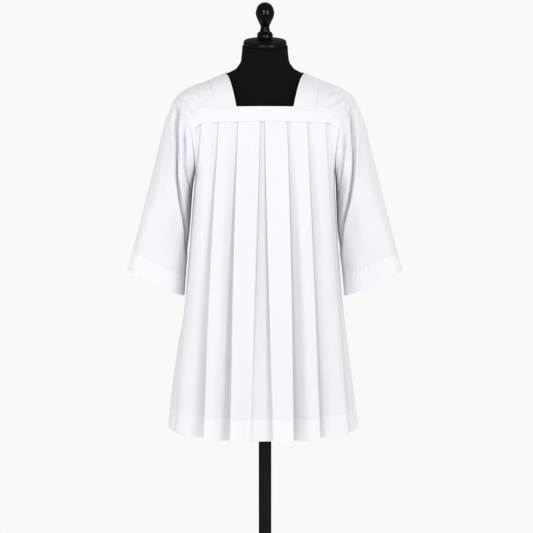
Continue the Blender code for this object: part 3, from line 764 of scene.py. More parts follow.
@dataclass(frozen=True)
class Tailor:
    """Makes a garment's pieces of one cloth and one thread."""

    cloth: bpy.types.Material
    stitches: Stitching

    def make(self, node: str, faces: tuple[Array, Array], chart: Array, double: Array,
             lines: list[tuple[Array, Array]], cut: Cut, held: str, rests_on: str,
             tube: bool = False) -> None:
        """Close a piece's wall, stitch it, and log its stated cut beside the size it was built to.

        Args:
            node: the solid that it stands for.
            faces: its outer and its inner face (rows, columns, 3).
            chart: the place of each point on the flat cloth.
            double: 1 where the cloth is turned up double, 0 elsewhere.
            lines: the seams that are stitched.
            cut: the size it was cut to.
            held: not used.
            rests_on: not used.
            tube: whether it is closed round.
        """
        made = cloth_shell(node + "_cloth", *faces, self.cloth, chart, double, tube)
        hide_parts(node)
        sewn = self.stitches.build(node + "_stitches", lines)
        built = cut_of(faces[0], tube)
        log.info("%s: cut %.3f x %.3f, %.4f m2; built %.3f x %.3f, %.4f m2", made.name, cut.width,
                 cut.length, cut.area, built.width, built.length, built.area)


# ---- yoke

@dataclass(frozen=True)
class Yoke:
    """The arched surface that the straps, shoulder pieces and bands lie on.

    point(x, turn): at each x an arch over the shoulder, turn from the ridge,
    negative in front.
    """

    bust_height: float = 1.306
    underarm_drop: float = 0.09
    armhole_top: float = 0.219
    armhole_foot: float = 0.1775
    armhole_sweep: float = 3.3
    depth_front: float = 0.097
    depth_back: float = 0.102
    depth_loss: float = 0.0125
    loss_width: float = 0.205
    back_raise: float = 0.015
    neck_ridge: float = 0.0992
    neck_edge: float = 0.0717
    seam_ridge: float = 0.1435
    seam_edge: float = 0.127
    ridge_x: Table = (0.0, 0.06, 0.101, 0.146, 0.193, 0.216, 0.24)
    ridge_z: Table = (1.4775, 1.4755, 1.47, 1.4505, 1.432, 1.4165, 1.393)
    band_top: Table = (1.4016, 0.005, 0.166, 0.6)
    band_foot: Table = (1.3645, 0.0055, 0.158, 0.62)

    def ridge(self, x: Array) -> Array:
        """Height of the shoulder ridge at each x."""
        return smooth_read(self.ridge_x, self.ridge_z, np.abs(x))

    def depth(self, x: Array, turn: Array) -> Array:
        """How far the arch reaches forwards or back where it is steepest."""
        middle = np.where(turn < 0.0, self.depth_front, self.depth_back)
        return middle - self.depth_loss * (x / self.loss_width) ** 2

    def point(self, x: Array, turn: Array) -> Array:
        """The outer face: (x, depth sin turn, bust + rise cos turn).

        Args:
            x: distance from the middle.
            turn: angle from the ridge in radians, negative in front.

        Returns:
            The points (..., 3).
        """
        x, turn = np.broadcast_arrays(x, turn)
        rise = self.ridge(x) - self.bust_height
        return np.stack([x, self.depth(x, turn) * np.sin(turn),
                         self.bust_height + rise * np.cos(turn)], axis=-1)

    def normal(self, x: Array, turn: Array) -> Array:
        """Outward direction of the face: the cross product of small steps along x and turn.

        Args:
            x: distance from the middle.
            turn: angle from the ridge in radians.

        Returns:
            Unit directions (..., 3).
        """
        step = 1e-4
        x, turn = np.broadcast_arrays(x, turn)
        across = self.point(x + step, turn) - self.point(x - step, turn)
        side = np.where(turn < 0.0, -step, step)
        along = (self.point(x, turn + side) - self.point(x, turn)) / side[..., None]
        return unit(np.cross(across, along))

    def armhole_x(self, turn: Array) -> Array:
        """Half width of the garment at the armhole, at a turn from the ridge."""
        lift = (1.0 + np.cos(turn)) / 2.0
        return self.armhole_foot + (self.armhole_top - self.armhole_foot) * lift ** self.armhole_sweep

    def armhole(self, turn: Array, side: float) -> Array:
        """A point of the armhole seam: on the yoke's arch above the bust, then down by drop cos turn.

        Args:
            turn: angle from the ridge (0) to the underarm (pi), negative in front.
            side: -1 or 1.

        Returns:
            The points (..., 3).
        """
        x = self.armhole_x(turn)
        upper = (self.ridge(x) - self.bust_height) * np.cos(turn)
        height = np.where(np.cos(turn) > 0.0, upper, self.underarm_drop * np.cos(turn))
        return np.stack([side * x, self.depth(x, turn) * np.sin(turn), self.bust_height + height], axis=-1)

    def seam(self, table: Table, x: Array, face: int) -> Array:
        """Height of a band seam: a parabola, and beyond its bend a straight drop as well.

        Args:
            table: (height, arch, bend, drop) of the seam.
            x: distance from the middle.
            face: -1 in front, 1 behind.

        Returns:
            The height at each x.
        """
        height, arch, bend, drop = table
        x = np.abs(x)
        lift = self.back_raise if face > 0 else 0.0
        return height + lift - arch * (x / bend) ** 2 - drop * np.maximum(x - bend, 0.0)

    def turn_at(self, x: Array, height: Array, face: int) -> Array:
        """The turn at which the face passes a height."""
        rise = self.ridge(x) - self.bust_height
        return face * np.arccos(np.clip((height - self.bust_height) / rise, -1.0, 1.0))

    def seam_end(self, table: Table, shift: float, face: int) -> float:
        """The x where a seam line meets the armhole, by repeats that each go half way there.

        Args:
            table: the seam.
            shift: how far above the seam the line runs.
            face: -1 in front, 1 behind.

        Returns:
            The distance from the middle.
        """
        x = 0.19
        for _ in range(60):
            turn = self.turn_at(x, self.seam(table, x, face) + shift, face)
            x = 0.5 * x + 0.5 * float(self.armhole_x(turn))
        return x


YOKE = Yoke()
YOKE_CUTS = {
    "front_band": Cut(0.41, 0.042, 0.0155),
    "back_band": Cut(0.423, 0.045, 0.0166),
    "strap": Cut(0.056, 0.219, 0.0105),
    "shoulder": Cut(0.088, 0.182, 0.0136),
}
PANEL_CUTS = {Face.FRONT: Cut(0.995, 0.842, 0.698), Face.BACK: Cut(1.0, 0.86, 0.709)}
SLEEVE_CUTS = {Side.RIGHT: Cut(0.613, 0.478, 0.1738), Side.LEFT: Cut(0.613, 0.478, 0.1758)}


@dataclass(frozen=True)
class YokeWork:
    """Cuts, relief and seams of the six pieces of the yoke.

    creases are rows of (x, height, x, height, depth, width): soft troughs that
    start at the shoulder tip and die out towards the band.
    """

    tailor: Tailor
    roll: float = 0.00022
    roll_width: float = 0.0012
    welt: float = 0.0008
    welt_at: float = 0.0024
    welt_width: float = 0.0015
    welt_from: float = 0.145
    pucker: float = 0.00012
    pucker_width: float = 0.006
    highest: float = 0.0006
    layers: float = 0.4
    crease_starts: float = 0.18
    crease_ends: float = 1.08
    crease_fades: float = 0.55
    lip_height: float = 0.35
    lip_away: float = 1.9
    crease_share: float = 0.9
    waves: Waves = ((0.00022, 0.041, 0.19, 0.4), (0.00016, 0.067, -0.053, 1.9),
                    (0.0001, -0.023, 0.031, 2.7))
    pucker_waves: Waves = ((1.0, 0.0071, 0.0093, 0.0), (0.8, 0.0113, -0.0067, 1.3))
    creases: tuple[tuple[float, ...], ...] = (
        (-0.208, 1.42, -0.163, 1.366, 0.0042, 0.0085),
        (-0.186, 1.422, -0.158, 1.392, 0.0026, 0.0075),
        (-0.205, 1.398, -0.188, 1.34, 0.0026, 0.006),
        (-0.176, 1.431, -0.14, 1.408, 0.0016, 0.009),
        (0.204, 1.422, 0.152, 1.392, 0.0034, 0.008),
        (0.208, 1.408, 0.166, 1.362, 0.0042, 0.008),
        (0.204, 1.39, 0.19, 1.338, 0.0028, 0.006),
        (0.172, 1.434, 0.14, 1.408, 0.0016, 0.009),
    )

    def relief(self, points: Array) -> Array:
        """Soft troughs: -depth * exp(-(distance / width)^2), fading along the line.

        Args:
            points: places on the yoke (..., 3).

        Returns:
            The height off the face at each place.
        """
        total = np.zeros(points.shape[:-1])
        for x0, z0, x1, z1, depth, width in self.creases:
            dx, dz = x1 - x0, z1 - z0
            length = dx * dx + dz * dz
            along = ((points[..., 0] - x0) * dx + (points[..., 2] - z0) * dz) / length
            held = np.clip(along, 0.0, 1.0)
            away = np.hypot(points[..., 0] - x0 - held * dx, points[..., 2] - z0 - held * dz)
            spread = width * (0.6 + 0.9 * held)
            fade = soft_step(along / self.crease_starts) * soft_step(
                (self.crease_ends - along) / self.crease_fades)
            total = total - depth * fade * bell(away, spread)
            total = total + self.lip_height * depth * fade * bell(away - self.lip_away * spread, spread)
        return total * self.crease_share + ripples(points[..., 0], points[..., 2] + points[..., 1] * 0.4,
                                                   self.waves)

    def piece(self, name: str, x: Array, turn: Array, seam: tuple[int, bool], cut: Cut) -> None:
        """Lay one piece on the yoke, its edges rolled into the seams.

        Args:
            name: the node that it stands for.
            x: grid of x.
            turn: grid of turns.
            seam: the row (or column, where the second is true) that is stitched.
            cut: its size laid flat.
        """
        base = YOKE.point(x, turn)
        normal = YOKE.normal(x, turn)
        chart = chart_of(base)
        height = np.abs(chart[..., 1] - chart[-1:, :, 1] / 2.0)
        sides = chart[:, -1:, 0] - np.abs(chart[..., 0])
        edge = np.minimum(sides, np.abs(chart[-1, 0, 1]) / 2.0 - height)
        dip = self.roll * bell(np.maximum(edge, 0.0), self.roll_width)
        pucker = self.pucker * bell(edge, self.pucker_width) * ripples(chart[..., 0], chart[..., 1],
                                                                       self.pucker_waves)
        shift = np.minimum(self.relief(base) + pucker, self.highest) - dip
        joined = np.minimum(sides, np.abs(chart[-1:, :, 1] - chart[..., 1])) if "band" in name else sides
        calm = soft_step((np.abs(turn) - 0.15) / 0.5) * soft_step(joined / 0.005)
        shift = shift + self.welt * bell(sides - self.welt_at, self.welt_width) * soft_step(
            (np.abs(x) - self.welt_from) / 0.02)
        outer = base + normal * (shift * calm - dip * (1.0 - calm))[..., None]
        inner = outer - normal * (CLOTH - 0.3 * dip)[..., None]
        facing = float(np.sign(np.sum(grid_normals(outer, 1.0) * normal)))
        self.tailor.make(name, (outer, inner), chart, np.full(x.shape, self.layers),
                         [line_at(outer, *seam, facing)], cut, "stretched", "form_torso")

    def band(self, face: Face) -> None:
        """The plain band across the chest or the shoulder blades.

        Each row lies a share of the way from the upper seam to the lower one.

        Args:
            face: front or back.
        """
        side = face.value
        rows = []
        reach = np.concatenate([crowded(90, 0.25)[:-1] * 0.8, 0.8 + 0.2 * crowded(34, 0.6)])
        for share in crowded(26):
            shift = -SEAM_GAP / 2.0 * (1.0 - share) + SEAM_GAP / 2.0 * share
            table = tuple(np.array(YOKE.band_top) * (1.0 - share) + np.array(YOKE.band_foot) * share)
            end = YOKE.seam_end(table, shift, side) - SEAM_GAP
            half = np.interp(reach, (0.0, 0.8, 1.0), (0.0, table[2], end))
            x = np.concatenate([-half[:0:-1], half])
            height = (YOKE.seam(YOKE.band_top, x, side) - SEAM_GAP / 2.0) * (1.0 - share)
            height = height + (YOKE.seam(YOKE.band_foot, x, side) + SEAM_GAP / 2.0) * share
            rows.append((x, YOKE.turn_at(x, height, side)))
        name = face.name.lower() + "_band"
        self.piece(name, *np.stack(rows, axis=1), (-5, False), YOKE_CUTS[name])

    def foot_turn(self, x: Array, side: int) -> Array:
        """The turn of the band's upper seam at each x."""
        return YOKE.turn_at(x, YOKE.seam(YOKE.band_top, x, side) + SEAM_GAP / 2.0, side)

    def over_shoulder(self, kind: Upper, side: Side) -> None:
        """The strap beside the neck, or the shoulder piece between its seam and the sleeve.

        Its rows go from the front band (-1) over the ridge (0) to the back band (1).

        Args:
            kind: strap or shoulder piece.
            side: right or left.
        """
        half = crowded(46, 0.5) * 0.999 + 0.001
        rows = []
        for share in np.concatenate([-half[::-1], half]):
            face = -1 if share < 0.0 else 1
            bare = abs(share)
            seam = YOKE.seam_ridge + (YOKE.seam_edge - YOKE.seam_ridge) * bare
            if kind is Upper.STRAP:
                step = crowded(30)
                foot = YOKE.neck_edge + (YOKE.seam_edge - YOKE.neck_edge) * step
                turn = self.foot_turn(foot, face) * bare
                inner = YOKE.neck_ridge + (YOKE.neck_edge - YOKE.neck_ridge) * bare
                outer = seam - SEAM_GAP / 2.0
            else:
                end = YOKE.seam_end(YOKE.band_top, SEAM_GAP / 2.0, face)
                steps = np.concatenate([crowded(22, 0.6)[:-1] * 0.5, 0.5 + 0.5 * crowded(26, 0.6)])
                foot = np.interp(steps, (0.0, 0.5, 1.0), (YOKE.seam_edge, YOKE.band_top[2], end))
                turn = self.foot_turn(foot, face) * bare
                inner = seam + SEAM_GAP / 2.0
                outer = float(YOKE.armhole_x(turn[-1])) - SEAM_GAP
                step = (foot - foot[0]) / (foot[-1] - foot[0])
            rows.append((side.value * (inner + (outer - inner) * step), turn))
        self.piece(f"{kind.value}_{side.name.lower()}", *np.stack(rows, axis=1), (-5, True),
                   YOKE_CUTS[kind.value])


# ---- panels

@dataclass(frozen=True)
class PleatedPanel:
    """The front or back panel: pleats as a path on rows that close in on the body.

    Each row is an oval's front, its folds at given x, and the path's points are
    (distance along the row, height off it).
    """

    face: Face
    tailor: Tailor
    folds: tuple[Table, ...]
    cut: Cut
    ring_z: Table = (1.18, 1.128, 1.083, 1.03, 0.953, 0.898, 0.83, 0.74, 0.608, 0.5515)
    ring_width: Table = (0.178, 0.1815, 0.1845, 0.188, 0.194, 0.1985, 0.207, 0.22, 0.237, 0.243)
    ring_depth: Table = (0.118, 0.123, 0.1275, 0.1325, 0.14, 0.145, 0.1515, 0.16, 0.172, 0.177)
    ring_power: Table = (5.0, 4.5, 4.1, 3.6, 3.1, 2.85, 2.65, 2.4, 2.15, 2.05)
    ring_shift: Table = (-0.001, -0.0018, -0.0022, -0.0026, -0.0027, -0.0027, -0.003, -0.005, -0.0053,
                         -0.005)
    fold_levels: Table = (1.364, 1.035, 0.5515)
    pressed: tuple[Table, Table] = (
        (-0.029, -0.0013, 0.0, -0.0013, -0.021, -0.0214, -0.021, 0.0025, 0.0125),
        (0.0, 0.0, -0.0013, -0.0026, -0.0026, -0.003, -0.0034, -0.0034, -0.002))
    opened: tuple[Table, Table] = (
        (-0.029, -0.005, 0.0005, -0.001, -0.009, -0.0105, -0.007, 0.0075, 0.0215),
        (0.006, 0.0145, 0.0125, 0.006, -0.006, -0.015, -0.0225, -0.0225, -0.0135))
    valley: tuple[Table, Table] = (
        (0.0, 0.023, 0.0234, 0.023, 0.0065, 0.0052, 0.0065, 0.014),
        (-0.0034, -0.0034, -0.003, -0.0026, -0.0026, -0.0013, 0.0, 0.0))
    parted: tuple[Table, Table] = (
        (0.0, 0.025, 0.0285, 0.029, 0.0278, 0.0262, 0.0285, 0.042),
        (-0.022, -0.0215, -0.018, -0.012, -0.006, -0.0012, 0.0012, 0.001))
    rolled: tuple[Table, Table] = (
        (0.0, 0.0165, 0.0228, 0.0268, 0.0298, 0.0326, 0.0362, 0.044),
        (-0.022, -0.0196, -0.0158, -0.0112, -0.0068, -0.003, -0.0004, 0.001))
    opening_ease: float = 1.15
    corner_share: float = 0.55
    side_shares: Table = (0.1, 0.35, 0.65)
    tail_room: float = 0.55
    tail_opening: float = 0.8
    chest_power: float = 5.0
    first_ring: float = 1.18
    underarm: float = 1.216
    hem_top: float = 0.608
    hem: float = 0.5515
    turns: Table = (90.0, 106.0, 128.0, 180.0)
    middles: Table = (1.334, 1.3, 1.262, 1.216)
    places: int = 961
    waves: Waves = ((0.0011, 0.093, 1.9, 0.6), (0.0009, 0.061, -1.3, 2.1), (0.0006, 0.037, 0.9, 4.0))
    small_waves: Waves = ((0.00022, 0.052, 0.11, 1.0), (0.00018, -0.034, 0.083, 2.2))
    waves_grow: float = 1.3
    calm_side: float = 0.16
    under_sleeve: float = 0.135
    cuff_level: float = 0.86
    pressed_in: float = 0.0006
    pucker_waves: Waves = ((1.0, 0.0101, 0.034, 0.3), (0.8, 0.0143, -0.028, 1.7), (0.6, 0.0067, 0.021, 0.2))
    hem_pucker: float = 0.00034
    hem_pucker_width: float = 0.0075
    seam_pucker: float = 0.00006
    seam_pucker_width: float = 0.006
    stitch_dent: float = 0.00045
    stitch_width: float = 0.0011
    inner_pucker: float = 0.6

    def corner(self) -> float:
        """Half width of the panel at the band seam."""
        return YOKE.seam_end(YOKE.band_foot, -SEAM_GAP / 2.0, self.face.value) - SEAM_GAP

    def tops(self) -> Array:
        """The x of each fold at the band seam."""
        return np.array([row[0] for row in self.folds])

    def seam_turn(self, x: Array) -> Array:
        """The yoke's turn at the panel's upper edge, at each x."""
        side = self.face.value
        return YOKE.turn_at(x, YOKE.seam(YOKE.band_foot, x, side) - SEAM_GAP / 2.0, side)

    def fold_x(self, level: float) -> Array:
        """The x of each fold edge at a height, from right to left."""
        return np.array([float(smooth_read(self.fold_levels, row, level)) for row in self.folds])

    def spread(self, place: Array, positions: Array, end: float) -> Array:
        """Read where each place lies on a row, by straight lines between the folds.

        Args:
            place: places from -2 to 2, the folds' own between -1 and 1.
            positions: where the folds lie on this row.
            end: where the row ends.

        Returns:
            The position of each place.
        """
        first = positions[0] - self.corner_share * (positions[0] + end)
        last = positions[-1] + self.corner_share * (end - positions[-1])
        places = np.concatenate([[-2.0, -1.0], self.tops() / self.corner(), [1.0, 2.0]])
        return np.interp(place, places, np.concatenate([[-end, first], positions, [last, end]]))

    def oval_row(self, place: Array, level: float, oval: Table, end: float) -> Array:
        """A row on a superellipse: x = a sin^(2/n), y = b cos^(2/n) of an angle.

        Args:
            place: the places along the row.
            level: its height.
            oval: half width a, half depth b, power n and shift along x.
            end: the angle at which it ends.

        Returns:
            The row's points (places, 3).
        """
        width, depth, power, shift = oval
        off = self.fold_x(level) - shift
        share = np.clip(np.abs(off) / width, 0.0, 0.999)
        angle = self.spread(place, np.sign(off) * np.arcsin(share ** (power / 2.0)), end)
        x = shift + width * np.sign(angle) * np.abs(np.sin(angle)) ** (2.0 / power)
        y = self.face.value * depth * np.abs(np.cos(angle)) ** (2.0 / power)
        return np.stack([x, y, np.full_like(x, level)], axis=-1)

    def armhole_row(self, place: Array, turn: float, level: float) -> Array:
        """A row that ends at both armholes, rising to them by the cube of its share of the reach.

        Args:
            place: the places along the row.
            turn: the turn from the ridge at which it meets the armholes.
            level: its height in the middle.

        Returns:
            The row's points (places, 3).
        """
        side = self.face.value
        end = YOKE.armhole(side * turn, 1.0)
        reach = end[0] - 2.0 * SEAM_GAP
        top = YOKE.seam(YOKE.band_foot, 0.0, side)
        top_depth = abs(float(YOKE.point(0.0, YOKE.turn_at(0.0, top, side))[1]))
        fallen = (top - level) / (top - self.first_ring)
        depth = top_depth + (self.ring_depth[0] - top_depth) * float(fallen)
        power = self.chest_power
        width = reach / (1.0 - (abs(end[1]) / depth) ** power) ** (1.0 / power)
        last = math.asin((reach / width) ** (power / 2.0))
        row = self.oval_row(place, level, (width, depth, power, 0.0), last)
        row[:, 2] += (end[2] - level) * (np.abs(row[:, 0]) / reach) ** 3
        return row

    def led_to_armhole(self, row: Array, share: float) -> Array:
        """Lead a row's ends onto the armhole's curve, by the cube of each point's share of the reach.

        Args:
            row: the row's points (places, 3).
            share: 0 at the band seam, 1 at the row that meets the armhole square to the ridge.

        Returns:
            The row with its ends on the curve.
        """
        side = self.face.value
        corner = self.corner()
        height = YOKE.seam(YOKE.band_foot, corner, side) - SEAM_GAP / 2.0
        first = abs(float(self.seam_turn(corner)))
        start = YOKE.armhole(side * first, 1.0)
        end = YOKE.armhole(side * (first + (math.pi / 2.0 - first) * share), 1.0)
        held = np.array((corner - start[0], 0.0, height - start[2])) * (1.0 - share)
        target = end + held - np.array((2.0 * SEAM_GAP * share, 0.0, 0.0))
        miss = (target - row[-1])[None] * (np.abs(row[:, :1]) / row[-1, 0]) ** 3
        miss[:, 0] *= np.sign(row[:, 0])
        return row + miss

    def ring_row(self, place: Array, level: float) -> Array:
        """A level row of the body below the arms.

        Args:
            place: the places along the row.
            level: its height.

        Returns:
            The row's points (places, 3).
        """
        tables = (self.ring_width, self.ring_depth, self.ring_power, self.ring_shift)
        oval = tuple(float(smooth_read(self.ring_z, table, level)) for table in tables)
        return self.oval_row(place, level, oval, math.pi / 2.0)

    def rows(self, place: Array) -> tuple[Array, Array, int]:
        """All the base rows from the seam to the hem.

        Args:
            place: the places along every row.

        Returns:
            The base points (rows, places, 3), each row's level in the middle,
            and the number of the first row that ends on the side seam.
        """
        x = self.spread(place, self.tops(), self.corner())
        seam = YOKE.point(x, self.seam_turn(x))
        high = float(YOKE.seam(YOKE.band_foot, 0.0, self.face.value))
        first = self.armhole_row(place, math.pi / 2.0, self.middles[0])
        base = []
        levels = []
        for share in np.linspace(0.0, 1.0, 10)[:-1]:
            base.append(self.led_to_armhole(seam * (1.0 - share) + first * share, share))
            levels.append(high + (self.middles[0] - high) * share)
        for turn in np.linspace(90.0, 180.0, 22)[:-1]:
            level = float(np.interp(turn, self.turns, self.middles))
            base.append(self.armhole_row(place, math.radians(turn), level))
            levels.append(level)
        under = len(base)
        last = self.armhole_row(place, math.pi, self.underarm)
        ring = self.ring_row(place, self.first_ring)
        for share in np.linspace(0.0, 1.0, 7)[:-1]:
            base.append(last * (1.0 - share) + ring * share)
            levels.append(self.underarm + (self.first_ring - self.underarm) * share)
        body = list(np.linspace(self.first_ring, self.hem_top + 0.003, 78))
        body += [self.hem_top + 0.0012, self.hem_top, self.hem_top - 0.0007, self.hem_top - 0.002]
        body += list(np.linspace(self.hem_top - 0.006, self.hem, 11))
        for level in body:
            base.append(self.ring_row(place, level))
            levels.append(level)
        return np.array(base), np.array(levels), under

    def relief(self, base: Array, levels: Array) -> Array:
        """Slow waves of the hanging cloth, none at the seam and most near the hem.

        Beside the sleeves the cloth is pressed in a little and never stands out.

        Args:
            base: the base points (rows, places, 3).
            levels: each row's height in the middle.

        Returns:
            The height off the base at each point.
        """
        fallen = ((levels[0] - levels) / (levels[0] - self.hem))[:, None]
        x = base[..., 0] + 0.02 * self.face.value
        v = np.broadcast_to(levels[:, None], x.shape)
        height = ripples(x, v, self.waves) * fallen ** self.waves_grow
        height = height + ripples(x, v, self.small_waves) * soft_step(fallen / 0.08)
        beside = soft_step((np.abs(x) - self.under_sleeve) / 0.03) * soft_step((v - self.cuff_level) / 0.06)
        height = height - beside * (np.maximum(height, 0.0) + self.pressed_in * soft_step(fallen / 0.3))
        share = np.abs(np.linspace(-1.0, 1.0, base.shape[1]))[None]
        return height * soft_step((1.0 - share) / self.calm_side)

    def outward(self, base: Array, under: int) -> Array:
        """Outward directions: the cross product of the grid's slopes, level along the side seams.

        Args:
            base: the base points (rows, places, 3).
            under: the first row that ends on the side seam.

        Returns:
            Unit directions of the same shape.
        """
        out = grid_normals(base, self.face.value)
        out[under:, 0] = (-1.0, 0.0, 0.0)
        out[under:, -1] = (1.0, 0.0, 0.0)
        x = base[0, :, 0]
        square = YOKE.normal(x, self.seam_turn(x))
        keep = 1.0 - soft_step(np.arange(9) / 8.0)[:, None, None]
        out[:9] = unit(square * keep + out[:9] * (1.0 - keep))
        return out

    def tail(self, fold: float, end: float, pleat: Array) -> Array:
        """The outermost pleat and the plain cloth beyond it.

        Args:
            fold: distance of the pleat's fold along the row.
            end: where the row ends.
            pleat: the pleat's own path.

        Returns:
            The path of (distance from the fold, height off the row).
        """
        along, off = pleat.T
        room = end - fold
        squeeze = min(1.0, self.tail_room * room / along[-1])
        steps = np.where(along > 0.0, along * squeeze, along)
        rest = steps[-1] + (room - steps[-1]) * np.array(self.side_shares)
        distances = np.concatenate([steps, rest, [room]])
        return np.stack([distances, np.concatenate([off, np.zeros(len(rest) + 1)])], axis=-1)

    def path(self, spots: Array, length: float, share: float) -> Array:
        """A row's whole path of (along, off), pressed (0) or open (1).

        The outermost pleats open less than the others, as the cloth is
        narrow there. The middle recess is folded sharp on its left and rolls
        in softly on its right.

        Args:
            spots: distances of the folds along the row.
            length: the row's length.
            share: how far the pleats are open.

        Returns:
            The path from right to left, (points, 2).
        """
        def mixed(first: tuple[Table, Table], second: tuple[Table, Table], opened: float) -> Array:
            """A path part way between two: first (1 - opened) + second opened."""
            return (np.array(first) * (1.0 - opened) + np.array(second) * opened).T

        pleat = mixed(self.pressed, self.opened, share)
        last = mixed(self.pressed, self.opened, share * self.tail_opening)
        sharp = mixed(self.valley, self.parted, share)
        soft = mixed(self.valley, self.rolled, share)
        mirror = np.array((-1.0, 1.0))
        seats = np.stack([spots, np.zeros_like(spots)], axis=-1)
        middle = len(spots) // 2
        end = length - SEAM_GAP / 2.0
        parts = [self.tail(-spots[0], -SEAM_GAP / 2.0, last)[::-1] * mirror + seats[0]]
        parts += [pleat[::-1] * mirror + seat for seat in seats[1:middle]]
        parts += [soft[:0:-1] * mirror + seats[middle], sharp + seats[middle]]
        parts += [pleat + seat for seat in seats[middle + 1:-1]]
        parts.append(self.tail(spots[-1], end, last) + seats[-1])
        return np.concatenate(parts)

    def behind(self, path: Array, wall: float) -> Array:
        """The path's inner side: a wall's thickness in along the mitre, wall / (mid . normal).

        Args:
            path: the outer path (points, 2).
            wall: the thickness.

        Returns:
            The inner path, point for point.
        """
        step = unit(np.diff(path, axis=0))
        normal = np.stack([-step[:, 1], step[:, 0]], axis=-1)
        before = np.concatenate([normal[:1], normal])
        after = np.concatenate([normal, normal[-1:]])
        mid = unit(before + after)
        mitre = 1.0 / np.maximum(np.sum(mid * after, axis=-1), 0.6)
        mid[0] = mid[-1] = (0.0, 1.0)
        mitre[0] = mitre[-1] = 1.0
        return path - mid * (wall * mitre)[:, None]

    def build(self) -> None:
        """Lay the rounded pleat path on every row and close the wall."""
        side = float(self.face.value)
        place = np.linspace(-2.0, 2.0, self.places)
        base, levels, under = self.rows(place)
        out = self.outward(base, under)
        base = base + out * self.relief(base, levels)[..., None]
        tops = self.tops() / self.corner()
        faces = ([], [])
        for row, aims, level in zip(base, out, levels):
            reach = reach_of(row)
            fallen = max((levels[0] - level) / (levels[0] - self.hem), 0.0)
            path = self.path(np.interp(tops, place, reach), reach[-1], fallen ** self.opening_ease)
            wall = HEM_CLOTH if level < self.hem_top else PLEAT_CLOTH
            for rows, line in zip(faces, (rounded(path), rounded(self.behind(path, wall)))):
                spots = read_line(line[:, 0], reach, row)
                rows.append(spots + unit(read_line(line[:, 0], reach, aims)) * line[:, 1:2])
        outer, inner = (np.array(rows) for rows in faces)
        chart = chart_of(outer)
        shift = self.pucker(chart, levels)[..., None]
        out = grid_normals(outer, side)
        outer += out * shift
        inner += out * (shift * self.inner_pucker)
        double = np.broadcast_to((levels <= self.hem_top - 0.0005).astype(float)[:, None], outer.shape[:2])
        hem_row = int(np.argmin(np.abs(levels - self.hem_top - 0.0012)))
        name = self.face.name.lower()
        self.tailor.make(name + "_panel", (outer, inner), chart, double,
                         [line_at(outer, hem_row, False, side)], self.cut, "gathered", name + "_band")

    def pucker(self, chart: Array, levels: Array) -> Array:
        """The hem's stitch line pressed in, and small puckers along it and the band seam.

        Args:
            chart: the places on the flat cloth.
            levels: each row's height in the middle.

        Returns:
            The height off the cloth at each place.
        """
        hem = bell(levels - self.hem_top + 0.001, self.hem_pucker_width)[:, None]
        line = bell(levels - self.hem_top, self.stitch_width)[:, None]
        top = bell(levels[0] - levels, self.seam_pucker_width)[:, None]
        waves = ripples(chart[..., 0], chart[..., 1], self.pucker_waves)
        shift = waves * (self.hem_pucker * hem + self.seam_pucker * top) - self.stitch_dent * line
        shift[:, :2] = 0.0
        shift[:, -2:] = 0.0
        return shift


FRONT_FOLDS = ((-0.162, -0.183, -0.222), (-0.117, -0.1355, -0.152), (-0.0685, -0.079, -0.086),
               (-0.0062, -0.0062, -0.0055), (0.0565, 0.0655, 0.0715), (0.1075, 0.1205, 0.137),
               (0.1545, 0.1715, 0.206))
BACK_FOLDS = ((-0.159, -0.179, -0.215), (-0.113, -0.13, -0.148), (-0.065, -0.074, -0.083),
              (-0.002, -0.003, -0.005), (0.061, 0.07, 0.079), (0.1095, 0.124, 0.142),
              (0.156, 0.174, 0.208))


# ---- sleeves

@dataclass(frozen=True)
class Trough:
    """A soft fold that runs down a sleeve: its track of shares and turns in degrees."""

    shares: Table
    turns: Table
    depth: float
    width: float
    crisp: float = 0.42


def yoke_turn(turn: Array) -> Array:
    """A turn round the sleeve, forwards from the top, as the yoke's, negative in front."""
    return np.where(turn < math.pi, -turn, 2.0 * math.pi - turn)


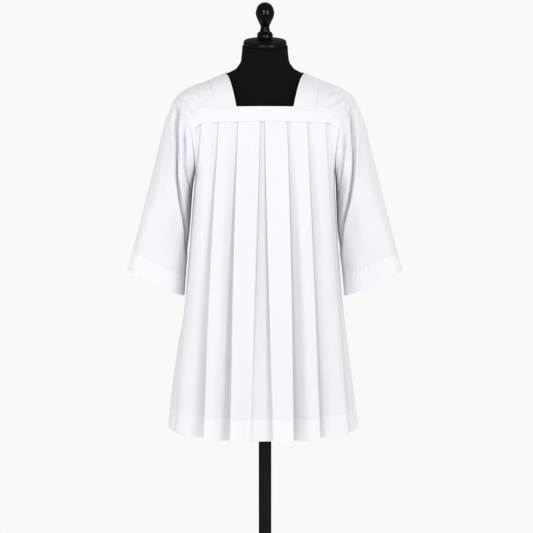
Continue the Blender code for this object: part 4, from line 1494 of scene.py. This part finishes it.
@dataclass(frozen=True)
class Sleeve:
    """A wide hanging sleeve: ovals between an outer and an inner line."""

    side: Side
    tailor: Tailor
    inner_x: Table
    troughs: tuple[Trough, ...]
    cut: Cut
    at: Table = (0.0, 0.04, 0.096, 0.156, 0.3, 0.45, 0.6, 0.75, 0.89, 1.0)
    outer_x: Table = (0.219, 0.23, 0.241, 0.252, 0.2687, 0.286, 0.3034, 0.3208, 0.337, 0.349)
    outer_z: Table = (1.4148, 1.4, 1.376, 1.35, 1.2839, 1.215, 1.1461, 1.0773, 1.013, 0.963)
    inner_z: Table = (1.216, 1.206, 1.189, 1.171, 1.128, 1.083, 1.039, 0.994, 0.953, 0.898)
    mid_y: Table = (0.0025, 0.002, 0.001, 0.0, -0.002, -0.004, -0.0055, -0.0065, -0.0075, -0.008)
    half_depth: Table = (0.09, 0.0885, 0.086, 0.083, 0.075, 0.067, 0.059, 0.051, 0.043, 0.038)
    power_top: float = 2.0
    power_cuff: float = 2.5
    length: float = 0.47
    cuff_girth: float = 0.4
    hem_at: float = 0.89
    columns: int = 320
    seam_reach: float = 0.2
    fold_starts: float = 0.056
    fold_fades: float = 0.26
    lip_height: float = 0.16
    lip_away: float = 2.3
    lip_width: float = 1.6
    waves: Waves = ((0.0011, WHOLE_TURN / 3, 0.9, 0.8), (0.0008, -WHOLE_TURN / 5, 0.55, 2.0),
                    (0.0005, WHOLE_TURN / 9, 1.7, 4.4))
    sunk: float = 0.0007
    highest: float = 0.0022
    pucker_lengths: Table = (0.0101, 0.0143, 0.0067)
    hem_pucker: float = 0.0003
    stitch_dent: float = 0.0004
    rolled_in: float = 0.0006
    welt: float = 0.0009

    def oval(self, at: Array, turn: Array) -> Array:
        """Superellipses between the outer and the inner line.

        Args:
            at: share of the way down the sleeve.
            turn: turn round it from its upper line, forwards, in radians.

        Returns:
            The points (..., 3).
        """
        outer_x, outer_z, inner_x, inner_z, mid_y, half_depth = (
            smooth_read(self.at, table, at) for table in
            (self.outer_x, self.outer_z, self.inner_x, self.inner_z, self.mid_y, self.half_depth))
        power = 2.0 / (self.power_top + (self.power_cuff - self.power_top) * at)
        swing = np.cos(turn)
        x = (outer_x + inner_x) / 2.0 + (outer_x - inner_x) / 2.0 * swing
        z = (outer_z + inner_z) / 2.0 + (outer_z - inner_z) / 2.0 * swing
        y = mid_y - half_depth * (np.sign(np.sin(turn)) * np.abs(np.sin(turn)) ** power)
        return np.stack([self.side.value * x, y, z], axis=-1)

    def surface(self, at: Array, turn: Array) -> Array:
        """The plain outer face, led back onto the armhole's seam by what its first oval misses it by.

        Args:
            at: share of the way down the sleeve.
            turn: turn round it in radians.

        Returns:
            The points (..., 3).
        """
        side = self.side.value
        seam = YOKE.armhole(yoke_turn(turn), side)
        seam[..., 0] += side * SEAM_GAP
        hold = (1.0 - soft_step(at / self.seam_reach))[..., None]
        return self.oval(at, turn) + (seam - self.oval(np.zeros_like(at), turn)) * hold

    def normals(self, points: Array) -> Array:
        """Outward directions of a closed grid of rings: the cross product of its slopes.

        Args:
            points: the grid (rings, columns, 3).

        Returns:
            Unit directions of the same shape.
        """
        around = np.roll(points, -1, axis=1) - np.roll(points, 1, axis=1)
        along = np.gradient(points, axis=0)
        return unit(np.cross(around, along) * self.side.value)

    def depth(self, at: Array, turn: Array) -> Array:
        """The folds' relief: -depth * exp(-(away / width)^2), away square to the track.

        The side towards the top of the sleeve is narrower by crisp, and a low
        lip stands along it.

        Args:
            at: share of the way down the sleeve.
            turn: turn round it in radians.

        Returns:
            The height off the plain face.
        """
        total = np.zeros(np.broadcast(at, turn).shape)
        radius = smooth_read(self.at, self.half_depth, at)
        for fold in self.troughs:
            track = np.radians(smooth_read(fold.shares, fold.turns, at))
            ahead = np.radians(smooth_read(fold.shares, fold.turns, at + 0.01))
            before = np.radians(smooth_read(fold.shares, fold.turns, at - 0.01))
            slope = (ahead - before) * radius / (0.02 * self.length)
            away = (turn - track + math.pi) % WHOLE_TURN - math.pi
            arc = away * radius / np.sqrt(1.0 + slope ** 2)
            start, end = fold.shares[0], fold.shares[-1]
            fade = soft_step((at - start * 0.5) / self.fold_starts) * soft_step(
                (end + 0.06 - at) / self.fold_fades)
            inboard = np.sign(fold.turns[-1]) * arc
            width = fold.width * (0.8 + 0.5 * np.clip((at - start) / (end - start), 0.0, 1.0))
            width = width * np.where(inboard < 0.0, fold.crisp, 1.0)
            total = total - fold.depth * fade * bell(arc, width)
            lip = bell(inboard + self.lip_away * fold.crisp * fold.width,
                       self.lip_width * fold.crisp * fold.width)
            total = total + self.lip_height * fold.depth * fade * lip
        return total

    def build(self) -> None:
        """Press the folds into the rings, turn the hem up and close the wall."""
        hem_at = self.hem_at
        levels = np.concatenate([np.linspace(0.0, 0.03, 9)[:-1], np.linspace(0.03, 0.46, 88)[:-1],
                                 np.linspace(0.46, hem_at - 0.006, 30),
                                 (hem_at - 0.003, hem_at - 0.001, hem_at + 0.0008, hem_at + 0.003),
                                 np.linspace(hem_at + 0.009, 1.0, 13)])
        turns = np.arange(self.columns) * WHOLE_TURN / self.columns
        at, turn = np.meshgrid(levels, turns, indexing="ij")
        plain = self.surface(at, turn)
        outer = plain + self.normals(plain) * self.relief(at, turn)[..., None]
        out = self.normals(outer)
        front = np.minimum(turns, WHOLE_TURN - turns)
        shared = YOKE.normal(self.side.value * YOKE.armhole_x(turns), yoke_turn(turns))
        keep = (1.0 - soft_step((front - 1.1) / 0.5))[:, None]
        lead = (1.0 - soft_step(levels / 0.045))[:, None, None]
        out = unit(out * (1.0 - lead * keep) + shared[None] * lead * keep)
        wall = np.where(levels > hem_at, HEM_CLOTH, CLOTH)[:, None, None]
        double = np.broadcast_to((levels > hem_at).astype(float)[:, None], at.shape)
        closed = np.concatenate([outer, outer[:, :1]], axis=1)
        hem_row = int(np.argmin(np.abs(levels - hem_at + 0.003)))
        name = self.side.name.lower()
        self.tailor.make("sleeve_" + name, (outer, outer - out * wall), chart_of(plain, True), double,
                         [line_at(closed, hem_row, False, -float(self.side.value))], self.cut, "hung",
                         "shoulder_" + name, tube=True)

    def relief(self, at: Array, turn: Array) -> Array:
        """Folds, slow waves, the hem's puckers and pressed stitch line, and the welt at the armhole.

        Args:
            at: share of the way down the sleeve.
            turn: turn round it in radians.

        Returns:
            The height off the plain face.
        """
        calm = soft_step(at / 0.05)
        inner_side = 1.0 - 0.9 * bell(turn - math.pi, 0.55)
        shift = self.depth(at, turn) + (ripples(turn, at, self.waves) - self.sunk) * calm * inner_side
        hem = bell(at - self.hem_at - 0.001, 0.014)
        line = bell(at - self.hem_at, 0.0022)
        cycles = np.round(self.cuff_girth / np.array(self.pucker_lengths))
        fine = sum(share * np.sin(cycle * turn + phase)
                   for share, cycle, phase in zip((1.0, 0.8, 0.6), cycles, (0.3, 1.7, 0.2)))
        shift = np.minimum(shift, self.highest) + self.hem_pucker * fine * hem - self.stitch_dent * line
        shift = shift - self.rolled_in * bell(at, 0.003)
        head = 1.0 - bell(turn - math.pi, 1.0)
        return shift + self.welt * head * bell(at - 0.012, 0.007)


INNER_RIGHT = (0.1778, 0.1795, 0.1818, 0.1838, 0.1872, 0.1905, 0.194, 0.198, 0.2015, 0.205)
INNER_LEFT = (0.1778, 0.1786, 0.1793, 0.1802, 0.1818, 0.1838, 0.187, 0.1925, 0.1975, 0.2015)
RIGHT_TROUGHS = (
    Trough((0.02, 0.05, 0.1, 0.15, 0.27, 0.38, 0.5, 0.7), (16, 30, 45, 70, 95, 122, 145, 162),
           0.0158, 0.012, 0.54),
    Trough((0.05, 0.08, 0.12, 0.15, 0.24), (62, 80, 107, 137, 160), 0.0104, 0.009, 0.7),
    Trough((0.3, 0.55, 0.88), (52, 66, 78), 0.0022, 0.015, 1.0),
    Trough((0.06, 0.2, 0.42, 0.7), (-32, -76, -122, -156), 0.011, 0.0165),
    Trough((0.08, 0.13, 0.22), (-82, -112, -150), 0.0048, 0.0115, 0.75),
    Trough((0.34, 0.6, 0.88), (-54, -64, -78), 0.0022, 0.015, 1.0),
)
LEFT_TROUGHS = (
    Trough((0.02, 0.04, 0.07, 0.15, 0.3, 0.47, 0.68), (18, 30, 38, 65, 98, 140, 165), 0.0158, 0.012, 0.54),
    Trough((0.02, 0.04, 0.05, 0.09), (35, 62, 110, 140), 0.0035, 0.009, 0.7),
    Trough((0.05, 0.08, 0.1, 0.15, 0.22), (66, 85, 105, 140, 160), 0.0104, 0.009, 0.7),
    Trough((0.32, 0.58, 0.88), (54, 68, 78), 0.0022, 0.015, 1.0),
    Trough((0.06, 0.22, 0.44, 0.68), (-36, -80, -128, -160), 0.011, 0.0165),
    Trough((0.08, 0.14, 0.23), (-86, -116, -152), 0.0048, 0.0115, 0.75),
)


# ---- the form

CAP = ((0.0, 0.0), (0.0525, 0.0), (0.054, 0.0015), (0.0545, 0.006), (0.054, 0.011), (0.052, 0.0138),
       (0.048, 0.0148), (0.03, 0.018), (0.006, 0.0194), (0.0, 0.0196))
FINIAL = ((0.0, 0.0), (0.0195, 0.0), (0.02, 0.005), (0.0195, 0.0105), (0.017, 0.0148), (0.013, 0.017),
          (0.0122, 0.019), (0.0124, 0.0225), (0.0108, 0.0262), (0.0104, 0.029), (0.0128, 0.035),
          (0.0175, 0.045), (0.0215, 0.054), (0.0235, 0.063), (0.0232, 0.068), (0.0222, 0.0692),
          (0.0222, 0.0705), (0.02, 0.079), (0.015, 0.086), (0.008, 0.09), (0.002, 0.0911),
          (0.0, 0.0912))
SOCKET = ((0.0, 0.0), (0.024, 0.0), (0.026, 0.002), (0.026, 0.016), (0.052, 0.02), (0.054, 0.022),
          (0.054, 0.028), (0.0, 0.028))
COLLAR = ((0.0168, 0.0), (0.034, 0.0), (0.035, 0.0015), (0.033, 0.01), (0.024, 0.018),
          (0.022, 0.026), (0.0168, 0.026))
BASE = ((0.0, 0.0), (0.169, 0.0), (0.172, 0.003), (0.172, 0.009), (0.16, 0.013), (0.06, 0.016),
        (0.0, 0.016))


def eased(points: Profile) -> Array:
    """A profile with its corners rounded, closed into a ring if it starts off the axis."""
    ring = points[0][0] > 0.0
    return rounded(np.array((*points, points[0])))[:-1] if ring else rounded(np.array(points))


@dataclass(frozen=True)
class DressForm:
    """The limbless torso, loft of ovals, with its cap, finial, pole and base."""

    cover: bpy.types.Material
    lacquer: bpy.types.Material
    satin: bpy.types.Material
    powder: bpy.types.Material
    body_z: Table = (0.79, 0.796, 0.83, 0.9, 1.0, 1.08, 1.18, 1.25, 1.3, 1.34,
                     1.38, 1.408)
    body_width: Table = (0.118, 0.13, 0.14, 0.142, 0.134, 0.13, 0.14, 0.15, 0.16, 0.17, 0.182, 0.19)
    body_depth: Table = (0.086, 0.094, 0.102, 0.102, 0.092, 0.086, 0.092, 0.092, 0.088, 0.082, 0.074, 0.064)
    shoulder_width: Table = (0.193, 0.146, 0.097)
    shoulder_depth: Table = (0.052, 0.05, 0.055)
    shoulder_power: Table = (1.8, 1.5, 1.35)
    neck_z: Table = (1.481, 1.496, 1.515, 1.54)
    neck_width: Table = (0.074, 0.063, 0.059, 0.057)
    neck_depth: Table = (0.056, 0.0565, 0.0565, 0.0565)
    neck_power: Table = (1.6, 1.9, 2.0, 2.0)
    seat_gap: float = 0.0006
    stand_gap: float = 0.0003
    pole_foot: float = 0.0163
    girth_radius: float = 0.13
    torso_sides: int = 144

    def seat(self, x: Array) -> Array:
        """Height of the shoulder at x: the ridge less (cloth + gap) / upward part of its normal."""
        return YOKE.ridge(x) - (CLOTH + self.seat_gap) / YOKE.normal(x, np.zeros_like(x))[..., 2]

    def stand_in(self, made: bpy.types.Object, node: str) -> None:
        """Say which solid a piece stands for, and report it.

        Args:
            made: the piece.
            node: the solid.
        """
        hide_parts(node)
        log.info("%s: %d faces", made.name, len(made.data.polygons))

    def torso(self) -> None:
        """The covered torso, smooth from hip to neck: superellipses lofted up the stand's axis."""
        angle = np.arange(self.torso_sides) * WHOLE_TURN / self.torso_sides
        hip, waist, chest = self.body_z[0], self.body_z[1], self.body_z[-1]
        low = np.concatenate([np.linspace(hip, waist, 4)[:-1], np.linspace(waist, chest, 60)])
        rows = [np.stack([low, smooth_read(self.body_z, self.body_width, low),
                          smooth_read(self.body_z, self.body_depth, low), np.full_like(low, 2.0)], axis=-1)]
        wide = np.linspace(self.shoulder_width[0], self.shoulder_width[-1], 28)
        back = [np.interp(-wide, [-value for value in self.shoulder_width], table)
                for table in (self.shoulder_depth, self.shoulder_power)]
        rows.append(np.stack([self.seat(wide), wide, *back], axis=-1))
        high = np.linspace(self.neck_z[0], self.neck_z[-1], 22)
        rows.append(np.stack([high] + [smooth_read(self.neck_z, table, high) for table in
                                       (self.neck_width, self.neck_depth, self.neck_power)], axis=-1))
        z, width, depth, power = np.concatenate(rows).T[:, :, None]
        swing, lean = np.cos(angle)[None], np.sin(angle)[None]
        x = width * np.sign(swing) * np.abs(swing) ** (2.0 / power)
        y = depth * np.sign(lean) * np.abs(lean) ** (2.0 / power)
        points, quads = loft(np.stack(np.broadcast_arrays(x, y, z), axis=-1), z[0, 0], z[-1, 0])
        chart = np.stack([np.arctan2(points[:, 1], points[:, 0]) * self.girth_radius, points[:, 2]], axis=-1)
        made = put_mesh("form_cover", points, quads, self.cover, chart, np.zeros(len(points)))
        self.stand_in(made, "form_torso")

    def turned(self, name: str, node: str, profile: Array, foot: float, finish: bpy.types.Material,
               slot: str, sides: int) -> None:
        """Turn a profile about the upright axis.

        Args:
            name: the piece's name.
            node: the solid that it stands for.
            profile: (radius, height) points from the lower pole to the upper one, or a ring off the axis.
            foot: height of the profile's zero.
            finish: the material.
            slot: not used.
            sides: how many flats go round.
        """
        angle = np.arange(sides) * WHOLE_TURN / sides
        ring = profile[0, 0] > 0.0
        radius, height = (profile if ring else profile[1:-1]).T[:, :, None]
        grid = np.stack(np.broadcast_arrays(radius * np.cos(angle), radius * np.sin(angle), foot + height),
                        axis=-1)
        if ring:
            points = grid.reshape(-1, 3)
            quads = facing_out(points, grid_quads(len(grid), sides, True, True))
        else:
            points, quads = loft(grid, foot + profile[0, 1], foot + profile[-1, 1])
        self.stand_in(put_mesh(name, points, quads, finish), node)

    def build(self) -> None:
        """Make the torso and everything turned."""
        self.torso()
        socket_foot = self.body_z[0] - SOCKET[-1][1] - self.stand_gap
        top = socket_foot - self.pole_foot - self.stand_gap
        pole = np.array(((0.0, 0.0), (0.015, 0.0), (0.016, 0.001), (0.016, top - 0.001), (0.015, top),
                         (0.0, top)))
        for name, node, profile, foot, finish, slot, sides in (
                ("cap_painted", "neck_cap", eased(CAP), 1.5405, self.satin, "cap_paint", 96),
                ("finial_turned", "finial", eased(FINIAL), 1.5605, self.lacquer, "finial_lacquer", 96),
                ("socket_cup", "form_socket", eased(SOCKET), socket_foot, self.powder, "stand_paint", 96),
                ("pole_tube", "pole", pole, self.pole_foot, self.powder, "stand_paint", 96),
                ("collar_flange", "pole_collar", eased(COLLAR), self.pole_foot, self.powder, "stand_paint", 96),
                ("base_plate", "base_disc", eased(BASE), 0.0, self.powder, "stand_paint", 144)):
            self.turned(name, node, profile, foot, finish, slot, sides)


# ---- studio

@dataclass(frozen=True)
class Studio:
    """Pale floor, even light, four soft boxes and the camera."""

    distance: float = 12.0
    height: float = 3.666
    aim_height: float = 0.97
    shift_x: float = 0.0038
    lens: float = 325.8
    sky: float = 0.79
    floor_seen: float = 0.9672
    contrast: float = 1.38
    floor_bounce: float = 0.95
    mirrored: float = 0.22
    backdrop: tuple[float, float, float, float] = (1.0, 0.9935, 0.98, 1.0)
    sky_colour: tuple[float, float, float, float] = (1.0, 1.0, 0.995, 1.0)
    floor_half: float = 40.0
    lit_height: float = 1.15

    def by_ray(self, tree: bpy.types.NodeTree, glow: str, output: str,
               lights: tuple[tuple[tuple[float, ...], float], ...]) -> None:
        """Fill a tree with glows that differ by the ray that meets them.

        Args:
            tree: the material's or the world's tree.
            glow: the kind of node that glows.
            output: the kind of its output node.
            lights: (colour, strength) for all rays, for glossy rays and for the camera's.
        """
        graph = Graph(tree)
        rays = graph.node("ShaderNodeLightPath")
        sockets = []
        for colour, level in lights:
            made = graph.node(glow)
            made.inputs["Color"].default_value = colour
            made.inputs["Strength"].default_value = level
            sockets.append(made.outputs[0])
        shown = sockets[0]
        for ray, socket in zip(("Is Glossy Ray", "Is Camera Ray"), sockets[1:]):
            mix = graph.node("ShaderNodeMixShader")
            for source, target in zip((rays.outputs[ray], shown, socket), mix.inputs):
                graph.feed(source, target)
            shown = mix.outputs[0]
        graph.feed(shown, graph.node(output).inputs[0])

    def floor(self) -> None:
        """A wide pale floor under the stand."""
        made = bpy.data.materials.new("studio_floor")
        made.use_nodes = True
        self.by_ray(made.node_tree, "ShaderNodeEmission", "ShaderNodeOutputMaterial", (
            (self.backdrop, self.floor_bounce), (self.backdrop, self.mirrored), (self.backdrop, self.floor_seen)))
        mesh = bpy.data.meshes.new("studio_floor")
        corners = ((-1.0, -1.0), (1.0, -1.0), (1.0, 1.0), (-1.0, 1.0))
        mesh.from_pydata([(x * self.floor_half, y * self.floor_half, -0.0005) for x, y in corners], [],
                         [(0, 1, 2, 3)])
        mesh.materials.append(made)
        put_object("studio_floor", mesh)

    def world(self) -> None:
        """Even surroundings, darker where gloss mirrors them."""
        world = bpy.data.worlds.new("studio")
        bpy.context.scene.world = world
        world.use_nodes = True
        dim = (self.mirrored, self.mirrored, self.mirrored, 1.0)
        self.by_ray(world.node_tree, "ShaderNodeBackground", "ShaderNodeOutputWorld", (
            (self.sky_colour, self.sky), (dim, 1.0), (self.backdrop, self.floor_seen)))

    def box_light(self, name: str, place: tuple[float, float, float], size: tuple[float, float],
                  power: float, mirrored: bool = True) -> None:
        """A soft box that looks at the middle of the garment.

        Args:
            name: the light's name.
            place: where it stands.
            size: its width and height.
            power: watts.
            mirrored: whether gloss shows it.
        """
        light = bpy.data.lights.new(name, "AREA")
        light.shape = "RECTANGLE"
        light.size, light.size_y = size
        light.energy = power
        item = put_object(name, light)
        item.location = place
        item.visible_glossy = mirrored
        aim = np.array((0.0, 0.0, self.lit_height)) - np.array(place)
        item.rotation_euler = (math.acos(-aim[2] / float(np.linalg.norm(aim))), 0.0,
                               math.atan2(-aim[0], aim[1]))

    def camera(self) -> None:
        """A long lens from a little above, aimed at the middle of the frame."""
        data = bpy.data.cameras.new("camera")
        data.lens = self.lens
        data.clip_end = 120.0
        item = put_object("camera", data)
        item.location = (self.shift_x, -self.distance, self.height)
        pitch = math.atan2(self.height - self.aim_height, self.distance)
        item.rotation_euler = (math.pi / 2.0 - pitch, 0.0, 0.0)
        bpy.context.scene.camera = item

    def build(self) -> None:
        """Set the floor, the light and the camera."""
        self.floor()
        self.world()
        self.box_light("key", (-1.3, -5.2, 2.6), (1.6, 2.0), 53.0)
        self.box_light("fill", (2.9, -4.3, 2.0), (1.6, 2.4), 67.0)
        self.box_light("side", (-4.4, -1.6, 1.9), (1.6, 2.4), 36.0, mirrored=False)
        self.box_light("rear", (2.4, 4.2, 3.6), (1.8, 2.2), 95.0, mirrored=False)
        self.camera()
        view = bpy.context.scene.view_settings
        view.view_transform = "Standard"
        view.look = "None"
        view.gamma = 1.0 / self.contrast


# ---- main

def sew(cotton: bpy.types.Material, thread: bpy.types.Material) -> None:
    """Build the garment's ten pieces, each with its stitching.

    Args:
        cotton: the cloth.
        thread: the sewing thread.
    """
    tailor = Tailor(cotton, Stitching(thread))
    work = YokeWork(tailor)
    for face, folds in ((Face.FRONT, FRONT_FOLDS), (Face.BACK, BACK_FOLDS)):
        PleatedPanel(face, tailor, folds, PANEL_CUTS[face]).build()
        work.band(face)
    for side, troughs, inner in ((Side.RIGHT, RIGHT_TROUGHS, INNER_RIGHT),
                                 (Side.LEFT, LEFT_TROUGHS, INNER_LEFT)):
        for kind in Upper:
            work.over_shoulder(kind, side)
        Sleeve(side, tailor, inner, troughs, SLEEVE_CUTS[side]).build()


def main() -> None:
    """Build every piece in order, then the studio."""
    logging.basicConfig(level=logging.INFO, format="%(name)s: %(message)s")
    DressForm(FORM_COVER.material(), LACQUER.material(), SATIN.material(), POWDER.material()).build()
    log.info("the form and its stand are built")
    sew(COTTON.material(), THREAD.material())
    log.info("the garment is built")
    Studio().build()


if __name__ == "__main__":
    main()
